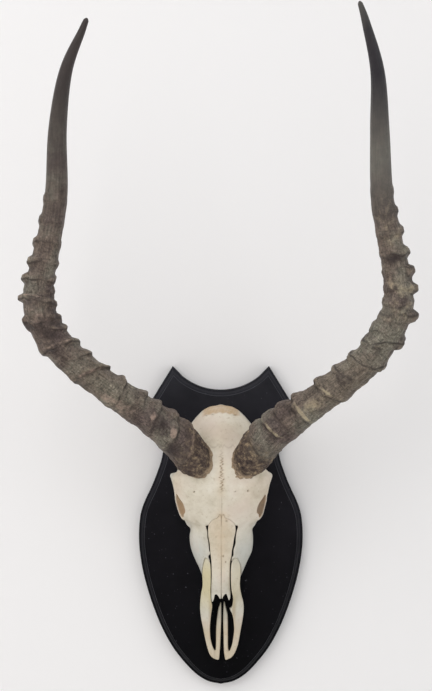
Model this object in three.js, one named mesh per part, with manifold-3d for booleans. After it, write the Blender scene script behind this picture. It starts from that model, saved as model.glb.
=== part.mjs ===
// Antelope skull and horns on a wooden shield plaque, to hang on a wall.
// Millimetres, +Z up. The wall is the plane y = 0 and the face looks along -Y, so
// a point's height off the wall, called "out" below, is -y. Left means the -X side.
import * as THREE from 'three';
import { mergeVertices } from 'three/addons/utils/BufferGeometryUtils.js';
import Module from 'manifold-3d';

const wasm = await Module();
wasm.setup();

// ---- Driving dimensions ----------------------------------------------------

const GAP = 0.3;                       // between pieces that touch
const FRONT = 120;                     // out, clear of everything on the skull but the horns
const OPEN = FRONT + 10;               // out, the upper surface of a cut that is open in front

// Shield: its right side from the foot up, as [half width, height above the middle of its back]
const SHIELD_THICK = 20;
const SHIELD_SIDE = [
  [0, -173], [15.5, -169.3], [31.2, -158.4], [50.3, -136.2], [63.2, -114], [72.6, -92], [80, -70],
  [85.7, -48], [89.2, -26], [90, -9], [89.1, 7], [87, 18], [83, 29], [77.8, 40], [73, 51], [68.9, 62],
  [65.3, 73], [63.5, 84], [64.5, 92], [68.5, 102], [74.5, 113], [82, 129],
];
const TOP_CORNER = [53, 176];
const TOP_ARC_DIP = 26;                // how far the hollow top edge dips
// Moulded edge, from the back to the face: [inset from the outline, out]
const EDGE_PROFILE = [
  [0.8, 0], [0, 0.8], [0, 12.4], [0.8, 13.1], [2.2, 13.2], [4.1, 16], [6.1, 18.1], [6.6, 19.7], [7, 20],
];

// Skull: one row per cross-section,
// [height, left half width, right half width, crown out, flank out, squareness]
const SKULL_ROWS = [
  [134.3, 4, 4, 44, 40, 2], [133, 7.5, 7.5, 48, 41, 2], [130.4, 13.4, 13, 54, 42, 2],
  [127.2, 19.6, 19, 60, 44, 2], [118, 29, 29, 72, 47, 2], [110, 34, 35, 78, 49, 2],
  [98, 37, 38, 86, 52, 2.1], [86, 38, 39, 92, 56, 2.2], [76, 40, 42, 95.3, 60, 2.4],
  [67, 45.4, 49, 95.8, 64, 2.7], [60, 53.9, 54.5, 95.6, 68, 3.1], [51, 51, 51.6, 94.6, 66, 3.2],
  [38, 49.4, 49.6, 91.6, 60, 3.1], [31, 49, 49.2, 89.6, 56, 3], [24, 47, 47.6, 87, 52, 2.8],
  [17, 42.6, 44, 84.6, 48, 2.6], [12, 38.4, 39.5, 83, 46, 2.5], [7, 33.2, 34.6, 81.3, 44, 2.4],
  [-7, 33.8, 34.6, 77.3, 40, 2.3], [-16, 33.2, 34.6, 74.8, 38, 2.3], [-24, 31.2, 33.3, 72.4, 37, 2.3],
  [-33, 27.6, 29.2, 69.8, 36, 2.2], [-42, 23.4, 25.4, 66.8, 35, 2.2], [-51, 20, 21.6, 63.4, 34, 2.2],
  [-58, 18.6, 19.8, 60.6, 33, 2.2], [-68, 17.3, 18, 54.6, 32, 2.2],
];
const CUT_FACE = 0.84;                 // width of the sawn face, as a share of the flanks'
const SKULL_BACK = SHIELD_THICK + GAP; // the skull is sawn flat where it meets the board
// Eye socket: the middle of its rim, the way it faces, and how far inwards its ball is centred
const ORBIT = { x: 43, out: 60.5, z: 32, facing: [0.95, 0.24, -0.2], radius: 17, rim: 1.8, deep: 6 };
// The part of its opening that faces forward, as [x, z], cut down to this far out
const ORBIT_NOTCH = [[46.8, 42], [44, 37.5], [40.6, 33], [38.6, 28], [37.8, 22.8], [39.4, 20.4], [42.5, 22],
  [45.2, 27], [46.8, 33], [47.2, 38]];
const ORBIT_NOTCH_OUT = 57;
// Hollow of the temple, behind the socket
const TEMPLE = { x: 47, out: 58, z: 80, radii: [13, 15, 17] };

// Flat bones of the face, as outlines [x, z] seen from the front.
const NASAL_OUTLINES = {
  left: [[0.2, 17.2], [-4, 17], [-8, 15.4], [-11.4, 12], [-13.3, 8.3], [-13.6, 2], [-13.3, -4], [-12, -11],
    [-11.5, -18.7], [-10.2, -31], [-10, -42], [-10.3, -54], [-10.6, -63], [-10.4, -71], [-9.6, -76.2],
    [-8.2, -75], [-7.2, -71.6], [-6.6, -68.6], [-5.4, -67.9], [-4, -68.3], [-2.6, -70], [0.2, -70.9]],
  right: [[0.5, 17.2], [5, 16.8], [9.5, 15], [13, 12], [15, 8.3], [15.3, 2], [13.9, -5], [12.9, -12],
    [11.6, -18.7], [9.8, -31], [9.4, -42], [9.4, -52], [9.8, -61], [10.2, -66], [10, -71.6], [8.6, -74.6],
    [7.4, -71.6], [6.4, -68.4], [5.4, -67.4], [3.9, -68], [2.6, -69.8], [0.5, -70.9]],
};
const NASAL_THICK = 2.6;
const PREMAXILLA_OUTLINES = {
  left: [[-16.4, -27], [-18.6, -34], [-20, -46], [-19.7, -57], [-20.2, -64], [-21.4, -70], [-22.6, -84],
    [-21.6, -96.5], [-19.3, -108.5], [-16.9, -121], [-14, -132.6], [-11.1, -139.2], [-6.4, -142.8],
    [-3.2, -143.8], [-2, -142.6], [-1.3, -136], [-0.2, -115], [0.4, -98], [0.4, -84], [0, -79.8],
    [-1.4, -83], [-2.8, -87], [-4.2, -97], [-5.2, -108.6], [-5.3, -120.6], [-6.2, -133.5], [-8.7, -129.7],
    [-11.1, -121], [-11.9, -109], [-11.1, -96.5], [-9.8, -86], [-9.4, -81.5], [-10.4, -76], [-11.2, -66],
    [-11, -56], [-10.9, -46], [-11.1, -38], [-12, -31.5]],
  right: [[16.6, -27.4], [20.4, -36], [20.9, -47], [20.3, -57], [21, -65], [22.6, -73], [24.3, -80],
    [24.7, -87], [23.9, -96.4], [21.3, -111.2], [19.1, -124], [16.1, -133.8], [12, -140.3], [7.4, -143.3],
    [5.4, -143.8], [4.4, -142], [3.3, -133], [2.5, -99.5], [2.9, -84], [3.7, -78.8], [5.4, -85.5],
    [7.4, -94.5], [7.7, -108.6], [7.7, -121.7], [9, -134.2], [12.5, -125.2], [14.3, -112.3], [14.2, -105],
    [13.3, -96], [11.6, -89.5], [9.3, -85.6], [12, -82.6], [13.1, -73.5], [11.7, -65], [10.8, -56.5],
    [10.5, -44.5], [10.8, -35], [12.6, -29.4]],
};
const SNOUT_MIDLINE = 1.5;
// How the two bars of a premaxilla lie: [height, out of the outer bar's middle, its half depth,
// how much it tilts, out of the inner bar's middle]
const BAR_ROWS = [
  [-20, 67, 1.6, 1.2, 67], [-34, 62.5, 1.8, 1.2, 62.5], [-46, 56, 2.6, 1.2, 56], [-58, 49.5, 3.8, 1.2, 49.5],
  [-70, 43, 5.2, 1.2, 43], [-78, 40, 5.4, 1, 33], [-84, 38, 5.6, 0.8, 31.5], [-97, 34, 5, 0.5, 30],
  [-109, 31, 4.4, 0.35, 29], [-121, 29, 3.8, 0.25, 28], [-132, 27.4, 3.2, 0.2, 27], [-150, 26, 2.4, 0.1, 26],
];
const BAR_AXIS = 16.5;                 // from the midline to where the outer bar's height is given
const INNER_BAR = { reach: 6.6, blend: 3, halfDepth: 1.9 };  // from the midline, and how it joins
// The nose is hollow: an outline open in front, seen as a slit beside each nasal bone.
const NOSE_OUTLINE = [
  [-13, -95], [-11.4, -60], [-11.4, -40], [-12.3, -31], [-13.3, -25.6], [-11.4, -22], [-12.6, -18],
  [-13, -11], [-14.1, -4.5], [-14.5, 2.5], [-16, 8.2], [-12.6, 8.4], [-9, 5], [0, 4], [9, 5], [14.6, 8.2],
  [17.8, 7.9], [16.4, 2], [15.4, -5.5], [15.2, -11.8], [13.2, -18], [13.2, -24.5], [12.9, -29.5],
  [10.8, -60], [13, -95],
];
const NOSE_FLOOR = { out: 32, flatBelow: -10, slope: 1.2 };

// Horns: centreline points [x, out, z, radius], from the skull to the tip, and rings as
// [along on the inner side, along on the outer side, lead of the front, inner, outer and front lift]
const HORN_SIDES = 12;
const LEFT_HORN = {
  outward: -1,
  line: [
    [-26, 86, 78, 20.3], [-56, 111, 112, 18.8], [-101, 136, 146, 16.4], [-144, 155, 180, 16.1],
    [-173, 168, 214, 16.1], [-181, 177, 249, 15.4], [-171.4, 187, 296, 12.8], [-161.6, 199, 345, 11.4],
    [-158.4, 216, 407, 9.2], [-149, 233, 460, 6.6], [-132, 247, 497, 3.7], [-127, 251.2, 508.4, 2.6],
  ],
  rings: [
    [23, 12, -14, 1.9, 0.2, 0.9], [40, 19, -8, 2.8, 0.4, 1.5], [58, 43, 0, 3.2, 0.6, 1.6],
    [77, 65, 8, 3.2, 0.5, 1.3], [95, 92, 4, 3.6, 0.2, 0.7], [124, 120, 1, 3.8, 0.6, 1.3],
    [146, 162, 12, 3.6, 1.8, 2.9], [171, 184, 7, 3, 0.2, 0.5], [191, 203, 8, 2.8, 3, 2.7],
    [210, 233, 5, 2.6, 4.3, 0.9], [227, 243, 5, 2.4, 0.2, 0.5], [247, 253, 7, 2.4, 6.2, 0.7],
    [276, 271, 1, 2.2, 5, 1.3], [291, 288, 3, 1.6, 4, 1.1], [311, 309, 3, 0.9, 3.2, 0.7],
    [331, 331, 2, 0.4, 2.1, 0.5],
  ],
  rim: { inner: 3, outer: 8, lead: -17.5 },     // the sheath's lower edge
  fall: { low: [3.9, 9.7], high: [7.2, 3.3] },  // how far a ring's slopes run, to skull and to tip
};
const RIGHT_HORN = {
  outward: 1,
  line: [
    [29, 86, 78, 20.3], [55, 111, 110, 18.8], [101, 136, 145, 16.4], [141, 155, 179, 16.2],
    [169, 168, 218, 16.1], [176, 177, 252, 15.3], [166, 187, 304, 12.8], [157, 199, 345, 11.4],
    [153, 216, 407, 9.7], [149, 233, 460, 7.1], [137, 247, 503, 4.3], [130, 251.2, 524.4, 2.5],
  ],
  rings: [
    [20, 12, -12, 1.9, 0.2, 0.8], [37, 34, -6, 3.6, 0.3, 1], [53, 60, -1, 3.8, 0.6, 1.8],
    [70, 74, -3, 3.6, 0.2, 0.7], [91, 92, -1, 4.4, 0.6, 2.2], [119, 133, 0, 3.8, 1.2, 1.6],
    [144, 156, 0, 3.2, 0.5, 0.8], [168, 178, -2, 3, 3.4, 1.5], [188, 210, -2, 2.6, 5.2, 1.5],
    [224, 233, 0, 2, 5.8, 1.4], [258, 255, 3, 1.8, 5.8, 1.1], [276, 273, 3, 1, 5, 0.9],
    [293, 292, 2, 0.9, 4.4, 0.8], [314, 313, 1, 0.6, 2.9, 0.6], [337, 336, 1, 0.3, 2.2, 0.4],
  ],
  rim: { inner: 3, outer: 9, lead: -22.5 },
  fall: { low: [3.9, 12], high: [6, 4.2] },
};
const BEND = { from: 150, to: 240 };   // along the horn, where the rings' slopes change over
const SMOOTH = { from: 352, steps: 8 };  // the ringless end
const PEDICLE_RADIUS = 17.5;
const PEDICLE_REACH = [-26, 0, 14, 26];  // along the horn's line, from inside the skull

// Keyhole hanger let into the back, and the screws
const HANGER = { z: 126, width: 46, height: 18, thick: 1.6, corner: 3, pocket: 11 };
const KEYHOLE = { head: 4.8, neck: 2.5, rise: 7 };
const HANGER_SCREW = { x: 17.5, head: 3.4, shank: 1.5, length: 14 };
const SKULL_SCREW = { heights: [44, -30], head: 5.2, shank: 2.4, length: 27 };
const SCREW_SIDES = 12;
const SUNK = 0.4;                      // heads sit this far inside the back

// ---- Mesh and solid helpers ------------------------------------------------

const point = (x, out, z) => new THREE.Vector3(x, -out, z);
const lerpRows = (rows, z) => {
  const i = Math.min(Math.max(rows.findIndex((row) => row[0] <= z), 1), rows.length - 1);
  const [above, below] = [rows[i - 1], rows[i]];
  const t = THREE.MathUtils.clamp((above[0] - z) / (above[0] - below[0]), 0, 1);
  return above.map((value, k) => value + (below[k] - value) * t);
};

function closedGeometry(vertices, triangles) {
  let volume = 0;
  for (const [a, b, c] of triangles) {
    volume += vertices[a].dot(new THREE.Vector3().crossVectors(vertices[b], vertices[c]));
  }
  const index = triangles.flatMap(([a, b, c]) => (volume < 0 ? [a, c, b] : [a, b, c]));
  const geometry = new THREE.BufferGeometry();
  geometry.setAttribute('position',
    new THREE.Float32BufferAttribute(vertices.flatMap((v) => [v.x, v.y, v.z]), 3));
  geometry.setIndex(index);
  return geometry;
}

// Side wall over equal loops of points.
function wall(loops) {
  const count = loops[0].length;
  const triangles = [];
  for (let row = 0; row + 1 < loops.length; row += 1) {
    for (let i = 0; i < count; i += 1) {
      const [a, b] = [row * count + i, row * count + ((i + 1) % count)];
      triangles.push([a, b, b + count], [a, b + count, a + count]);
    }
  }
  return triangles;
}

// Skin over equal loops, with each end closed by a fan about its middle.
function loft(loops) {
  const count = loops[0].length;
  const vertices = loops.flat();
  const triangles = wall(loops);
  const fan = (loop, first, flip) => {
    const middle = loop.reduce((sum, v) => sum.add(v), new THREE.Vector3()).divideScalar(count);
    vertices.push(middle);
    for (let i = 0; i < count; i += 1) {
      const [a, b] = [first + i, first + ((i + 1) % count)];
      triangles.push(flip ? [vertices.length - 1, b, a] : [vertices.length - 1, a, b]);
    }
  };
  fan(loops[0], 0, true);
  fan(loops.at(-1), (loops.length - 1) * count, false);
  return closedGeometry(vertices, triangles);
}

function solid(geometry) {
  const bare = geometry.clone();
  bare.deleteAttribute('normal');
  bare.deleteAttribute('uv');
  const merged = mergeVertices(bare, 1e-4);
  return new wasm.Manifold(new wasm.Mesh({
    numProp: 3,
    vertProperties: new Float32Array(merged.attributes.position.array),
    triVerts: new Uint32Array(merged.index.array),
  }));
}

function geometryOf(manifold) {
  const mesh = manifold.getMesh();
  const geometry = new THREE.BufferGeometry();
  geometry.setAttribute('position', new THREE.BufferAttribute(new Float32Array(mesh.vertProperties), 3));
  geometry.setIndex(Array.from(mesh.triVerts));
  return geometry;
}

// Solid with an outline [x, z], from one distance off the wall to another.
function prism(outline, from, to) {
  const shape = new THREE.Shape(outline.map(([x, z]) => new THREE.Vector2(x, z)));
  const slab = new THREE.ExtrudeGeometry(shape, { depth: to - from, bevelEnabled: false });
  slab.rotateX(Math.PI / 2);
  slab.translate(0, -from, 0);
  return solid(slab);
}

function ball(x, out, z, radii, segments) {
  const sphere = new THREE.SphereGeometry(1, segments, segments / 2);
  sphere.scale(...radii);
  sphere.translate(x, -out, z);
  return solid(sphere);
}

// ---- Shield ----------------------------------------------------------------

// Outline, anticlockwise from the foot, as [x, z] pairs.
function shieldOutline() {
  const sideSteps = 24;
  const arcSteps = 10;
  const side = new THREE.SplineCurve(SHIELD_SIDE.map(([x, z]) => new THREE.Vector2(x, z)))
    .getPoints(sideSteps).map((p) => [p.x, p.y]);
  const radius = (TOP_CORNER[0] ** 2 + TOP_ARC_DIP ** 2) / (2 * TOP_ARC_DIP);
  const half = Math.asin(TOP_CORNER[0] / radius);
  const arc = [];
  for (let i = 1; i < arcSteps; i += 1) {
    const angle = half - (2 * half * i) / arcSteps;
    arc.push([radius * Math.sin(angle), TOP_CORNER[1] - TOP_ARC_DIP + radius * (1 - Math.cos(angle))]);
  }
  const right = [...side, TOP_CORNER];
  return [...right, ...arc, ...right.slice(1).reverse().map(([x, z]) => [-x, z])];
}

// The outline moved inwards by a distance, corners kept.
function insetOutline(outline, distance) {
  return outline.map(([x, z], i) => {
    const before = outline.at(i - 1);
    const after = outline[(i + 1) % outline.length];
    const into = new THREE.Vector2(x - before[0], z - before[1]).normalize();
    const away = new THREE.Vector2(after[0] - x, after[1] - z).normalize();
    const normal = new THREE.Vector2(-into.y - away.y, into.x + away.x).normalize();
    const reach = distance / (normal.x * -into.y + normal.y * into.x);
    return [x + normal.x * reach, z + normal.y * reach];
  });
}

function shieldBoard() {
  const outline = shieldOutline();
  const loops = EDGE_PROFILE.map(([inset, out]) => insetOutline(outline, inset)
    .map(([x, z]) => point(x, out, z)));
  const triangles = wall(loops);
  const flat = (loop) => loop.map((v) => new THREE.Vector2(v.x, v.z));
  for (const [a, b, c] of THREE.ShapeUtils.triangulateShape(flat(loops[0]), [])) {
    triangles.push([a, c, b]);
  }
  const last = (loops.length - 1) * outline.length;
  for (const [a, b, c] of THREE.ShapeUtils.triangulateShape(flat(loops.at(-1)), [])) {
    triangles.push([last + a, last + b, last + c]);
  }
  return solid(closedGeometry(loops.flat(), triangles));
}

// ---- Horns -----------------------------------------------------------------

// Position, radius and axes at a distance along a horn's centreline.
function hornTrack(horn) {
  const curve = new THREE.CatmullRomCurve3(horn.line.map(([x, out, z]) => point(x, out, z)),
    false, 'centripetal');
  curve.arcLengthDivisions = 800;
  const length = curve.getLength();
  const marks = horn.line.map((row, i) => [i / (horn.line.length - 1), row[3]]);
  const radiusAt = (u) => {
    const t = curve.getUtoTmapping(u);
    const i = Math.min(Math.max(marks.findIndex((mark) => mark[0] >= t), 1), marks.length - 1);
    const blend = (t - marks[i - 1][0]) / (marks[i][0] - marks[i - 1][0]);
    return THREE.MathUtils.lerp(marks[i - 1][1], marks[i][1], blend);
  };
  return (along) => {
    const u = THREE.MathUtils.clamp(along / length, 0, 1);
    const tangent = curve.getTangentAt(u);
    const centre = curve.getPointAt(u).addScaledVector(tangent, along - u * length);
    const front = new THREE.Vector3(0, -1, 0);
    front.addScaledVector(tangent, -front.dot(tangent)).normalize();
    const outer = new THREE.Vector3().crossVectors(tangent, front).multiplyScalar(horn.outward);
    return { centre, front, outer, radius: radiusAt(u), length };
  };
}

// One loop round the horn. Its inner, outer and front sides may lie at different places along it,
// and stand out by different lifts.
function hornLoop(track, [inner, outer, lead, liftInner = 0, liftOuter = 0, liftFront = 0], shift, grow) {
  return Array.from({ length: HORN_SIDES }, (_, i) => {
    const angle = (2 * Math.PI * i) / HORN_SIDES;
    const [across, forward] = [Math.cos(angle), Math.sin(angle)];
    const along = THREE.MathUtils.lerp(inner, outer, (1 + across) / 2) + lead * forward + shift;
    const { centre, front, outer: side, radius } = track(along);
    const lift = (across < 0 ? liftInner : liftOuter) * across ** 2 + liftFront * forward ** 2;
    const reach = radius + grow + lift;
    return centre.addScaledVector(side, reach * across).addScaledVector(front, reach * forward);
  });
}

// Every ring is a crest between two slopes. Low on the horn it is steep towards the skull, and
// past the bend towards the tip.
function hornSolid(horn, grow = 0) {
  const track = hornTrack(horn);
  const { length } = track(0);
  const clearance = 1;                 // a slope's foot keeps this far from the ring before it
  const { rim } = horn;
  const endGrow = 2 * grow;            // the lower edge is slanted, so it moves further along
  const loops = [hornLoop(track, [rim.inner, rim.outer, rim.lead], -endGrow, grow)];
  let reached = [rim.inner, rim.outer];
  for (const ring of horn.rings) {
    const [inner, outer, lead] = ring;
    const past = THREE.MathUtils.clamp(((inner + outer) / 2 - BEND.from) / (BEND.to - BEND.from), 0, 1);
    const [down, up] = horn.fall.low.map((low, i) => THREE.MathUtils.lerp(low, horn.fall.high[i], past));
    if (inner - down > reached[0] + clearance && outer - down > reached[1] + clearance) {
      loops.push(hornLoop(track, [inner, outer, lead], -down, grow));
    }
    loops.push(hornLoop(track, ring, 0, grow), hornLoop(track, [inner, outer, lead], up, grow));
    reached = [inner + up, outer + up];
  }
  for (let i = 0; i <= SMOOTH.steps; i += 1) {
    const along = THREE.MathUtils.lerp(SMOOTH.from, length, i / SMOOTH.steps);
    loops.push(hornLoop(track, [along, along, 0], 0, grow));
  }
  return solid(loft(loops));
}

function pedicle(horn) {
  const track = hornTrack(horn);
  const loops = PEDICLE_REACH.map((along) => {
    const { centre, front, outer } = track(along);
    return Array.from({ length: HORN_SIDES }, (_, i) => {
      const angle = (2 * Math.PI * i) / HORN_SIDES;
      return centre.clone().addScaledVector(outer, PEDICLE_RADIUS * Math.cos(angle))
        .addScaledVector(front, PEDICLE_RADIUS * Math.sin(angle));
    });
  });
  return solid(loft(loops));
}

// ---- Skull, nasals and premaxillae -----------------------------------------

// Half of a section from the board round to the crown, then the other half back down.
function skullLoop([z, left, right, crown, flank, squareness]) {
  const steps = 9;
  const half = (width, side) => [
    point(side * width * CUT_FACE, SKULL_BACK, z),
    point(side * width * (1 + CUT_FACE) / 2, (SKULL_BACK + flank) / 2, z),
    ...Array.from({ length: steps }, (_, i) => {
      const angle = (Math.PI / 2) * (i / steps);
      return point(side * width * Math.cos(angle) ** (2 / squareness),
        flank + (crown - flank) * Math.sin(angle) ** (2 / squareness), z);
    }),
  ];
  return [...half(left, -1), point(0, crown, z), ...half(right, 1).reverse()];
}

// How far out the front of the skull stands at x, z, before the nose is opened.
function faceOut(x, z) {
  const [, left, right, crown, flank, squareness] = lerpRows(SKULL_ROWS, z);
  const share = Math.max(0, 1 - (Math.abs(x) / (x < 0 ? left : right)) ** squareness) ** (1 / squareness);
  return flank + (crown - flank) * share;
}

// The part of an outline's prism between two surfaces, each given as its distance off the wall at
// x, z. The surfaces are sampled on these columns and rows.
function layer(outline, columns, rows, under, top) {
  const slab = loft(rows.map((z) => [
    ...columns.map((x) => point(x, under(x, z), z)),
    ...[...columns].reverse().map((x) => point(x, top(x, z), z))]));
  return prism(outline, 0, FRONT).intersect(solid(slab));
}

// A bone's outline is clockwise on the right and anticlockwise on the left.
const grown = (outline, side, distance) => insetOutline(outline, side < 0 ? -distance : distance);

// The bed is the room that the skull leaves for the bone: a gap wider all round, and open in front.
function nasalSolid(side, bed = false) {
  const grow = bed ? GAP : 0;
  const outline = NASAL_OUTLINES[side < 0 ? 'left' : 'right'];
  const columns = [-18, -12, -6, 0, 6, 12, 18];
  const rows = [20, 8, -6, -20, -34, -50, -66, -80];
  const under = (x, z) => faceOut(x, z) - NASAL_THICK - grow;
  return layer(grown(outline, side, grow), columns, rows, under, bed ? () => OPEN : faceOut);
}

function premaxillaSolid(side, bed = false) {
  const grow = bed ? GAP : 0;
  const outline = PREMAXILLA_OUTLINES[side < 0 ? 'left' : 'right'];
  const { reach, blend, halfDepth } = INNER_BAR;
  const columns = [-2, reach, reach + blend / 2, reach + blend, 28].map((away) => SNOUT_MIDLINE + side * away);
  if (side < 0) columns.reverse();
  const surface = (x, z, face) => {
    const away = Math.abs(x - SNOUT_MIDLINE);
    const [, outer, deep, tilt, inner] = lerpRows(BAR_ROWS, z);
    const share = THREE.MathUtils.smoothstep(away, reach, reach + blend);
    const middle = THREE.MathUtils.lerp(inner, outer - tilt * (away - BAR_AXIS), share);
    return middle + face * (THREE.MathUtils.lerp(halfDepth, deep, share) + grow);
  };
  return layer(grown(outline, side, grow), columns, BAR_ROWS.map(([z]) => z),
    (x, z) => surface(x, z, -1), bed ? () => OPEN : (x, z) => surface(x, z, 1));
}

function noseHollow() {
  const { out, flatBelow, slope } = NOSE_FLOOR;
  return layer(NOSE_OUTLINE, [-20, 20], [12, flatBelow, -100],
    (x, z) => out + slope * Math.max(0, z - flatBelow), () => OPEN);
}

// The socket with its raised rim added, or the hollow to take away.
function orbitParts(side) {
  const { x, out, z, facing, radius, rim, deep } = ORBIT;
  const way = new THREE.Vector3(side * facing[0], -facing[1], facing[2]).normalize();
  const centre = point(side * x, out, z);
  const ring = new THREE.TorusGeometry(radius + rim, rim, 5, 20);
  ring.applyQuaternion(new THREE.Quaternion().setFromUnitVectors(new THREE.Vector3(0, 0, 1), way));
  ring.translate(...centre);
  const middle = centre.clone().addScaledVector(way, -deep);
  const size = Math.hypot(radius, deep);
  const hollow = ball(middle.x, -middle.y, middle.z, [size, size, size], 18)
    .add(prism(ORBIT_NOTCH.map(([u, v]) => [side * u, v]), ORBIT_NOTCH_OUT, FRONT));
  return { ring: solid(ring), hollow };
}

function skullSolid() {
  let skull = solid(loft(SKULL_ROWS.map(skullLoop)));
  for (const horn of [LEFT_HORN, RIGHT_HORN]) skull = skull.add(pedicle(horn));
  for (const side of [-1, 1]) {
    const { ring, hollow } = orbitParts(side);
    skull = skull.add(ring).subtract(hollow)
      .subtract(ball(side * TEMPLE.x, TEMPLE.out, TEMPLE.z, TEMPLE.radii, 12));
  }
  skull = skull.subtract(noseHollow());
  for (const horn of [LEFT_HORN, RIGHT_HORN]) skull = skull.subtract(hornSolid(horn, GAP));
  for (const side of [-1, 1]) {
    skull = skull.subtract(nasalSolid(side, true)).subtract(premaxillaSolid(side, true));
  }
  for (const z of SKULL_SCREW.heights) skull = skull.subtract(skullScrew(z, GAP));
  return skull;
}

// ---- Hanger and screws -----------------------------------------------------

// A countersunk screw driven in from the back: axis along -Y, head's face at "sunk" from the wall.
function screwSolid(size, x, z, sunk, grow = 0) {
  const cone = size.head - size.shank;
  const profile = [[0, -grow * 2], [size.head + grow, -grow * 2], [size.head + grow, 0.5],
    [size.shank + grow, 0.5 + cone], [size.shank + grow, size.length - 3 + grow], [0, size.length + grow]];
  const lathe = new THREE.LatheGeometry(profile.map(([r, y]) => new THREE.Vector2(r, y)), SCREW_SIDES);
  lathe.rotateX(Math.PI);
  lathe.translate(x, -sunk, z);
  return solid(lathe);
}

function roundedSlab(width, height, corner, from, to, holes = []) {
  const shape = new THREE.Shape();
  const [w, h] = [width / 2 - corner, height / 2 - corner];
  shape.absarc(w, h, corner, 0, Math.PI / 2);
  shape.absarc(-w, h, corner, Math.PI / 2, Math.PI);
  shape.absarc(-w, -h, corner, Math.PI, 1.5 * Math.PI);
  shape.absarc(w, -h, corner, 1.5 * Math.PI, 2 * Math.PI);
  shape.holes.push(...holes);
  const slab = new THREE.ExtrudeGeometry(shape, { depth: to - from, bevelEnabled: false, curveSegments: 4 });
  slab.rotateX(Math.PI / 2);
  slab.translate(0, -from, HANGER.z);
  return solid(slab);
}

// The nail's head goes in at the round end below and its neck slides up the slot.
function keyhole() {
  const hole = new THREE.Path();
  const low = -KEYHOLE.rise / 2;
  const turn = Math.asin(KEYHOLE.neck / KEYHOLE.head);
  hole.absarc(0, low, KEYHOLE.head, Math.PI / 2 + turn, 2.5 * Math.PI - turn);
  hole.absarc(0, low + KEYHOLE.rise, KEYHOLE.neck, 0, Math.PI);
  return hole;
}

const hangerScrew = (side, grow = 0) =>
  screwSolid(HANGER_SCREW, side * HANGER_SCREW.x, HANGER.z, SUNK + 0.1, grow);
const skullScrew = (z, grow = 0) => screwSolid(SKULL_SCREW, 0, z, SUNK, grow);

function hangerPlate() {
  let plate = roundedSlab(HANGER.width, HANGER.height, HANGER.corner, SUNK, SUNK + HANGER.thick, [keyhole()]);
  for (const side of [-1, 1]) plate = plate.subtract(hangerScrew(side, GAP));
  return plate;
}

function shieldSolid() {
  let board = shieldBoard()
    .subtract(roundedSlab(HANGER.width + 2 * GAP, HANGER.height + 2 * GAP, HANGER.corner + GAP,
      -1, SUNK + HANGER.thick + GAP))
    .subtract(roundedSlab(22, HANGER.height - 2, HANGER.corner, 0, HANGER.pocket));
  for (const side of [-1, 1]) board = board.subtract(hangerScrew(side, GAP));
  for (const z of SKULL_SCREW.heights) board = board.subtract(skullScrew(z, GAP));
  return board;
}

// ---- Assembly --------------------------------------------------------------

const material = (color, roughness, metalness = 0) =>
  new THREE.MeshStandardMaterial({ color, roughness, metalness });
const blackPaint = () => material(0x201f24, 0.45);
const bone = () => material(0xd9cfbb, 0.75);
const horn = () => material(0x695e53, 0.7);
const plated = () => material(0xb9b3a2, 0.35, 0.9);

const group = new THREE.Group();
function place(name, manifold, surface) {
  const mesh = new THREE.Mesh(geometryOf(manifold), surface);
  mesh.name = name;
  group.add(mesh);
}

place('shield', shieldSolid(), blackPaint());
place('skull', skullSolid(), bone());
for (const [side, word] of [[-1, 'left'], [1, 'right']]) {
  place(`nasal_${word}`, nasalSolid(side), bone());
  place(`premaxilla_${word}`, premaxillaSolid(side), bone());
  place(`horn_${word}`, hornSolid(side < 0 ? LEFT_HORN : RIGHT_HORN), horn());
  place(`hanger_screw_${word}`, hangerScrew(side), plated());
}
place('hanger_plate', hangerPlate(), plated());
SKULL_SCREW.heights.forEach((z, i) => place(`skull_screw_${['upper', 'lower'][i]}`, skullScrew(z), plated()));

export default group;
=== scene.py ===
"""Antelope skull with both horns, screwed to a black shield plaque that hangs on a pale wall.

Left and right are the viewer's. Sizes are in millimetres where a name says so; "out" is the
height off the wall, which is the plane y = 0, so a point is (x, -out, z).
"""
import math

import bmesh
import bpy
import numpy as np
import openvdb
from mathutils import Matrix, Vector
from mathutils.geometry import tessellate_polygon


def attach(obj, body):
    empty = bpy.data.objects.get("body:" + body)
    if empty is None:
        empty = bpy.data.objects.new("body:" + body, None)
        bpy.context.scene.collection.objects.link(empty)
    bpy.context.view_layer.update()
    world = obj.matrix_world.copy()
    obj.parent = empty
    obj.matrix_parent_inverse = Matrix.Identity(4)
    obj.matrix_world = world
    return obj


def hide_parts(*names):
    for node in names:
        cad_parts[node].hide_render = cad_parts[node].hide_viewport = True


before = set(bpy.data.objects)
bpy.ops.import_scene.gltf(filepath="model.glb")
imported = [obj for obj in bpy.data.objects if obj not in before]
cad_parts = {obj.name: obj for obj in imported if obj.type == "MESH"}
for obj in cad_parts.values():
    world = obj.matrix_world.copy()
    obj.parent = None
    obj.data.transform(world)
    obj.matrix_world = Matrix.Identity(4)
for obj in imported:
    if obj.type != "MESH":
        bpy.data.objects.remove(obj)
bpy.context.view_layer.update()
MM = 0.001

# ------------------------------------------------------------------ camera
# Square on to the wall, level, a long step back from it.
CAMERA_AT = (-5.3, -1700, 198.7)
bpy.ops.object.camera_add(location=[c * MM for c in CAMERA_AT], rotation=(math.pi / 2, 0, 0))
camera = bpy.context.object
camera.name = "camera"
camera.data.lens = 80
camera.data.sensor_width = 36
camera.data.sensor_fit = "AUTO"
bpy.context.scene.camera = camera
bpy.context.scene.view_settings.view_transform = "Standard"

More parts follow.
